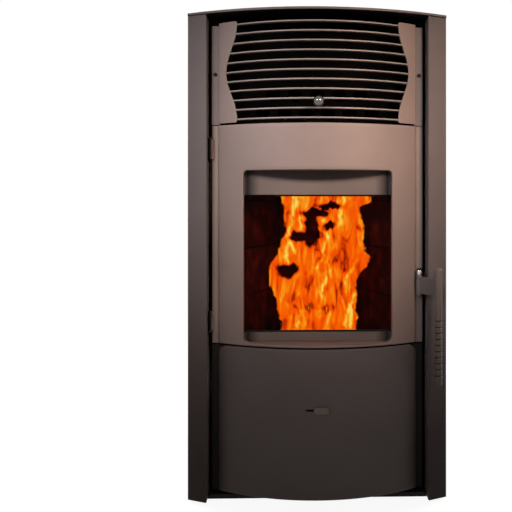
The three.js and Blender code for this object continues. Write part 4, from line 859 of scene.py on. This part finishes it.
# %% [markdown]
# ## The fire
# Flames are thin sheets of glowing gas that rise from the burning pellets, part round dark pockets
# and pull out into bright streaks. A volume of glowing smoke would be truer, but it renders slowly
# and can't leave Blender, so each flame is an upright sheet. The front sheet carries the shape seen
# in the photograph: its two edges, its pockets and its streaks are listed, and twisted noise
# adds the small tongues. Two lower sheets stand behind it, so the fire has depth from the side.

# %% Where the front flame has its edges, pockets and streaks
pot_low, pot_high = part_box("burn_pot")
pot_centre_y = (pot_low.y + pot_high.y) / 2
FLAME_EDGE = 0.010

# Each edge is a chain of (height, x).
LEFT_EDGE = np.array([
    (0.335, -0.074), (0.379, -0.081), (0.418, -0.089), (0.450, -0.102), (0.474, -0.100),
    (0.500, -0.084), (0.547, -0.066), (0.580, -0.068), (0.629, -0.074), (0.660, -0.070),
])
RIGHT_EDGE = np.array([
    (0.335, 0.083), (0.400, 0.083), (0.442, 0.084), (0.464, 0.092), (0.476, 0.110), (0.496, 0.114),
    (0.508, 0.099), (0.558, 0.098), (0.602, 0.090), (0.612, 0.110), (0.635, 0.116), (0.660, 0.110),
])

# Each pocket is (x, z, half width, half height, how much heat it takes away).
POCKETS = [
    (-0.061, 0.466, 0.019, 0.015, 1.0), (-0.010, 0.552, 0.016, 0.036, 1.0),
    (-0.040, 0.538, 0.016, 0.011, 0.9), (0.027, 0.561, 0.012, 0.009, 0.9),
    (-0.004, 0.590, 0.030, 0.008, 0.8), (0.030, 0.604, 0.026, 0.007, 0.8),
    (0.049, 0.491, 0.022, 0.022, 0.22), (-0.016, 0.437, 0.010, 0.018, 0.3),
    (-0.012, 0.384, 0.012, 0.012, 0.35), (0.024, 0.384, 0.014, 0.010, 0.35),
    (-0.052, 0.400, 0.010, 0.020, 0.2), (0.050, 0.420, 0.008, 0.030, 0.2),
]

# Each streak is a chain of (x, z).
STREAKS = [
    [(-0.044, 0.632), (-0.053, 0.580), (-0.060, 0.545), (-0.065, 0.505), (-0.064, 0.480)],
    [(-0.060, 0.526), (-0.053, 0.515), (-0.045, 0.503)],
    [(-0.040, 0.545), (-0.036, 0.560), (-0.036, 0.580)],
    [(0.020, 0.535), (0.018, 0.516), (0.010, 0.491), (0.001, 0.472)],
    [(0.019, 0.460), (0.016, 0.438), (0.009, 0.416), (0.009, 0.380)],
    [(0.060, 0.632), (0.055, 0.600), (0.049, 0.566)],
    [(0.014, 0.575), (0.018, 0.560), (0.020, 0.540)],
    [(0.080, 0.416), (0.073, 0.385), (0.073, 0.345)],
    [(0.066, 0.382), (0.062, 0.345)],
    [(-0.036, 0.380), (-0.040, 0.345)],
    [(0.066, 0.452), (0.074, 0.470), (0.090, 0.490)],
]
print("the fire has", len(POCKETS), "pockets and", len(STREAKS), "streaks")


# %% The shape and heat of a flame sheet
BODY_HEAT = 0.56
STREAK_HEAT = 0.30
STREAK_HALF = 0.0042
BEND = 0.004  # how far a pocket or streak may wander
EDGE_WOBBLE = 0.003
DEPTH_WOBBLE = 0.006


def ripple(values, count, seed):
    """A smooth wobble: a few sine waves of rising frequency with random phases."""
    source = np.random.default_rng(seed)
    total = np.zeros_like(values)
    for k in range(1, count + 1):
        total += np.sin(values * k * 2.3 + source.uniform(0, 6.3)) / k
    return total / 1.8


def distance_to_line(x, z, line):
    """Distance from points to a chain of straight segments: the nearest point on each segment is
    the start plus the segment times a share held between 0 and 1."""
    best = np.full(x.shape, np.inf)
    for (x0, z0), (x1, z1) in zip(line[:-1], line[1:]):
        run, rise = x1 - x0, z1 - z0
        share = np.clip(((x - x0) * run + (z - z0) * rise) / (run ** 2 + rise ** 2), 0, 1)
        best = np.minimum(best, np.hypot(x - x0 - share * run, z - z0 - share * rise))
    return best


def placed_heat(x, z):
    """Heat from 0 to 1: a warm body, less at each pocket, more along each streak. A pocket is a
    flat-topped ellipse, exp(-r^4), and a streak a narrow bell, exp(-d^2)."""
    bent_x = x + BEND * ripple(z * 60 + x * 25, 4, 5)
    bent_z = z + BEND * ripple(x * 70, 4, 9)
    heat = np.full(x.shape, BODY_HEAT)
    for px, pz, wide, high, depth in POCKETS:
        heat = heat - depth * np.exp(-(((bent_x - px) / wide) ** 2 + ((bent_z - pz) / high) ** 2) ** 2)
    for line in STREAKS:
        heat = heat + STREAK_HEAT * np.exp(-(distance_to_line(bent_x, z, line) / STREAK_HALF) ** 2)
    return heat


def flame_sheet(name, depth, left_edge, right_edge, bottom, top, placed, seed, rows=190, columns=110):
    """An upright sheet between two edges, which wobble with height: x = left + (right - left) x
    share. Its own UV pair holds the heat and the reach, which is 0 at the sheet's rim and 1 from
    one edge's width inwards."""
    up = np.linspace(0, 1, rows)[:, None]
    across = np.linspace(0, 1, columns)[None, :]
    z = bottom + (top - bottom) * up
    left = np.interp(z, *left_edge.T) + EDGE_WOBBLE * ripple(z * 55, 5, seed) - FLAME_EDGE / 2
    right = np.interp(z, *right_edge.T) + EDGE_WOBBLE * ripple(z * 55, 5, seed + 1) + FLAME_EDGE / 2
    x = left + (right - left) * across
    z = np.broadcast_to(z, x.shape)
    y = depth + DEPTH_WOBBLE * ripple(x * 40 + z * 12, 4, seed + 3)
    sheet = mesh_object(name, np.stack([x, y, z], -1), grid_faces(rows, columns))
    reach = np.minimum(np.minimum(x - left, right - x), (top - z) * 0.6) / FLAME_EDGE
    corner_point = np.zeros(len(sheet.data.loops), np.int32)
    sheet.data.loops.foreach_get("vertex_index", corner_point)
    pair = np.stack([placed(x, z).ravel(), np.clip(reach, 0, 1).ravel()], -1)[corner_point]
    sheet.data.uv_layers.new(name="heat_and_reach").uv.foreach_set("vector", pair.astype(np.float32).ravel())
    return sheet


# %% How a flame looks
LICKS = 1.5  # how much the noise adds to the heat or takes away
RIM_START = 0.35
RIM_STEEPNESS = 3.0
COLD = 0.08  # the heat at which a flame turns see-through
COLD_STEEPNESS = 6.0


def flame_finish(name, brightness, seed):
    """Glow and opacity from heat = placed heat + licks, where licks = (noise - 0.5) x LICKS. The
    noise is stretched upwards and twisted. Where reach or heat is low the sheet is see-through."""
    material, tree, shader = new_material(name)
    pair = tree.nodes.new("ShaderNodeUVMap")
    pair.uv_map = "heat_and_reach"
    parts = tree.nodes.new("ShaderNodeSeparateXYZ")
    tree.links.new(pair.outputs["UV"], parts.inputs["Vector"])
    placed, reach = parts.outputs["X"], parts.outputs["Y"]
    shift = (seed * 1.7, seed * 0.9, seed * 0.3)
    tongues = noise(tree, 52.0, 4.0, 0.55, (1.0, 0.5, 0.30), shift, 1.4)
    licks = math_node(tree, "MULTIPLY", math_node(tree, "SUBTRACT", tongues, 0.5), LICKS)
    heat = math_node(tree, "ADD", placed, licks)
    glow = ramp(tree, heat, [
        (0.08, (0.05, 0.002, 0.0)), (0.26, (0.30, 0.014, 0.0)), (0.42, (0.95, 0.070, 0.0)),
        (0.60, (1.0, 0.14, 0.0)), (0.78, (1.0, 0.33, 0.008)), (0.98, (1.0, 0.70, 0.10)),
    ])
    tree.links.new(glow, shader.inputs["Emission Color"])
    shader.inputs["Emission Strength"].default_value = brightness
    shader.inputs["Base Color"].default_value = (0.0, 0.0, 0.0, 1)
    shader.inputs["Roughness"].default_value = 1.0
    shader.inputs["Specular IOR Level"].default_value = 0.0
    ragged = math_node(tree, "SUBTRACT", reach, math_node(tree, "SUBTRACT", 0.5, licks))
    rim = math_node(tree, "MULTIPLY", math_node(tree, "ADD", ragged, RIM_START), RIM_STEEPNESS)
    body = math_node(tree, "MULTIPLY", math_node(tree, "SUBTRACT", heat, COLD), COLD_STEEPNESS)
    solid = math_node(tree, "MINIMUM", rim, body)
    clamped = math_node(tree, "MAXIMUM", math_node(tree, "MINIMUM", solid, 1.0), 0.0)
    tree.links.new(clamped, shader.inputs["Alpha"])
    return material


def even_heat(x, z):
    """The sheets behind the front one are plain flame, cooler as they rise."""
    return 0.52 - 0.8 * np.clip(z - 0.40, 0, 1)


def flame(name, depth, edges, bottom, top, placed, seed, brightness):
    """One flame sheet with its own glow."""
    sheet = flame_sheet(name, depth, *edges, bottom, top, placed, seed)
    dress(smooth(sheet, 80), "root", "firebrick", flame_finish(name + "_glow", brightness, seed))
    print(name, "rises to", top)


LOW_LEFT = np.array([(0.335, -0.060), (0.400, -0.066), (0.450, -0.040)])
low_edges = (LOW_LEFT, LOW_LEFT * (1, -1))
low_start = pot_high.z - 0.004
flame("flame_front", pot_low.y - 0.008, (LEFT_EDGE, RIGHT_EDGE), 0.336, 0.655, placed_heat, 3, 1.0)
flame("flame_middle", pot_centre_y, low_edges, low_start, 0.450, even_heat, 11, 0.8)
flame("flame_back", pot_centre_y + 0.03, low_edges, low_start, 0.430, even_heat, 23, 0.7)


# %% [markdown]
# ## Light, floor and backdrop
# In the photograph the panels are brightest beside the window and fade towards the floor, warmer on
# the right than on the left. One big lamp would light them evenly, so two small lamps with narrow
# beams stand in front, a warm one on the right and a cool one on the left. A soft lamp fills the
# shadows, two wide ones light the sides and the back, and a point of orange stands in the fire. The
# white backdrop is only seen: the world is white for the camera, reflections and clear glass, and
# gives little light. The floor glows in the same way, a little less near the stove.

# %% Lamps
def area_lamp(name, place, aim, size, power, colour, beam):
    """A rectangular lamp at a place, turned towards a point, with a beam of so many degrees."""
    data = bpy.data.lights.new(name, "AREA")
    data.shape = "RECTANGLE"
    data.size, data.size_y = size
    data.energy = power
    data.color = colour
    data.spread = math.radians(beam)
    lamp = scene_object(name, data)
    lamp.location = place
    x, y, z = np.asarray(aim, float) - np.asarray(place, float)
    lamp.rotation_euler = (math.atan2(math.hypot(x, y), -z), 0, math.atan2(y, x) - math.pi / 2)
    print(name, power, "W")


def point_lamp(name, place, radius, power, colour):
    """A small glowing ball."""
    data = bpy.data.lights.new(name, "POINT")
    data.energy = power
    data.color = colour
    data.shadow_soft_size = radius
    scene_object(name, data).location = place
    print(name, power, "W")


KEY_SIZE = (0.30, 0.25)
KEY_BEAM = 36
FILL_BEAM = 150
area_lamp("warm_key", (0.75, FRONT_Y - 1.15, 1.25), (0.10, FRONT_Y, 0.755), KEY_SIZE, 1.05,
          (1.0, 0.80, 0.67), KEY_BEAM)
area_lamp("cool_key", (-0.75, FRONT_Y - 1.15, 1.25), (-0.10, FRONT_Y, 0.755), KEY_SIZE, 0.82,
          (0.83, 0.89, 1.0), KEY_BEAM)
area_lamp("soft_fill", (0.0, FRONT_Y - 1.8, 0.75), (0.0, 0.0, 0.5), (1.4, 1.2), 0.4, (1.0, 0.98, 0.96), 170)
area_lamp("left_fill", (-1.9, 0.9, 1.5), (-0.2, 0.0, 0.55), (1.0, 1.0), 26, (0.97, 0.98, 1.0), FILL_BEAM)
area_lamp("right_fill", (1.9, 0.9, 1.5), (0.2, 0.0, 0.55), (1.0, 1.0), 26, (1.0, 0.97, 0.94), FILL_BEAM)
point_lamp("fire_light", (0.0, pot_centre_y, 0.47), 0.05, 0.14, (1.0, 0.14, 0.02))


# %% World
def seen_directly(tree):
    """1 where the camera, a reflection or clear glass looks, 0 where light is gathered."""
    path = tree.nodes.new("ShaderNodeLightPath")
    total = path.outputs["Is Camera Ray"]
    for other in ("Is Glossy Ray", "Is Transmission Ray"):
        total = math_node(tree, "MAXIMUM", total, path.outputs[other])
    return total


def backdrop():
    """White at strength 1 where it is seen directly, and a weak white light everywhere else."""
    world = bpy.data.worlds.new("studio")
    world.use_nodes = True
    tree = world.node_tree
    ambient = tree.nodes["Background"]
    white = tree.nodes.new("ShaderNodeBackground")
    for node, strength in ((ambient, WORLD_LIGHT), (white, 1.0)):
        node.inputs["Color"].default_value = (1, 1, 1, 1)
        node.inputs["Strength"].default_value = strength
    chooser = tree.nodes.new("ShaderNodeMixShader")
    tree.links.new(seen_directly(tree), chooser.inputs["Fac"])
    tree.links.new(ambient.outputs["Background"], chooser.inputs[1])
    tree.links.new(white.outputs["Background"], chooser.inputs[2])
    tree.links.new(chooser.outputs["Shader"], tree.nodes["World Output"].inputs["Surface"])
    return world


WORLD_LIGHT = 0.03
bpy.context.scene.world = backdrop()
print("world light:", WORLD_LIGHT)


# %% Floor
def floor_finish():
    """A matt floor that glows where it is seen directly. The glow rises with the distance from
    the stove, from the near value at the near distance to 1 at the far one."""
    material, tree, shader = new_material("pale_floor")
    shader.inputs["Base Color"].default_value = (0.20, 0.20, 0.20, 1)
    shader.inputs["Roughness"].default_value = 1.0
    shader.inputs["Specular IOR Level"].default_value = 0.0
    from_stove = tree.nodes.new("ShaderNodeVectorMath")
    from_stove.operation = "LENGTH"
    tree.links.new(own_place(tree), from_stove.inputs[0])
    whiteness = spread(tree, from_stove.outputs["Value"], NEAR_GLOW, 1.0, NEAR, FAR)
    glow = math_node(tree, "MULTIPLY", whiteness, seen_directly(tree))
    tree.links.new(glow, shader.inputs["Emission Strength"])
    shader.inputs["Emission Color"].default_value = (1, 1, 1, 1)
    return material


NEAR_GLOW = 0.93
NEAR = 0.45
FAR = 1.2
FLOOR_SIZE = 30.0
floor_corners = [(-FLOOR_SIZE, -FLOOR_SIZE, 0), (FLOOR_SIZE, -FLOOR_SIZE, 0),
                 (FLOOR_SIZE, FLOOR_SIZE, 0), (-FLOOR_SIZE, FLOOR_SIZE, 0)]
floor = mesh_object("floor", floor_corners, [[0, 1, 2, 3]])
floor.data.materials.append(floor_finish())
print("floor reaches", FLOOR_SIZE, "m each way")


# %% [markdown]
# ## Sizes
# The dressed stove must stay inside the imported model's box, or it would no longer fit where that
# model does.

# %% Sizes
def corners(bounds):
    """Two corners as plain lists."""
    return [list(map(float, corner)) for corner in bounds]
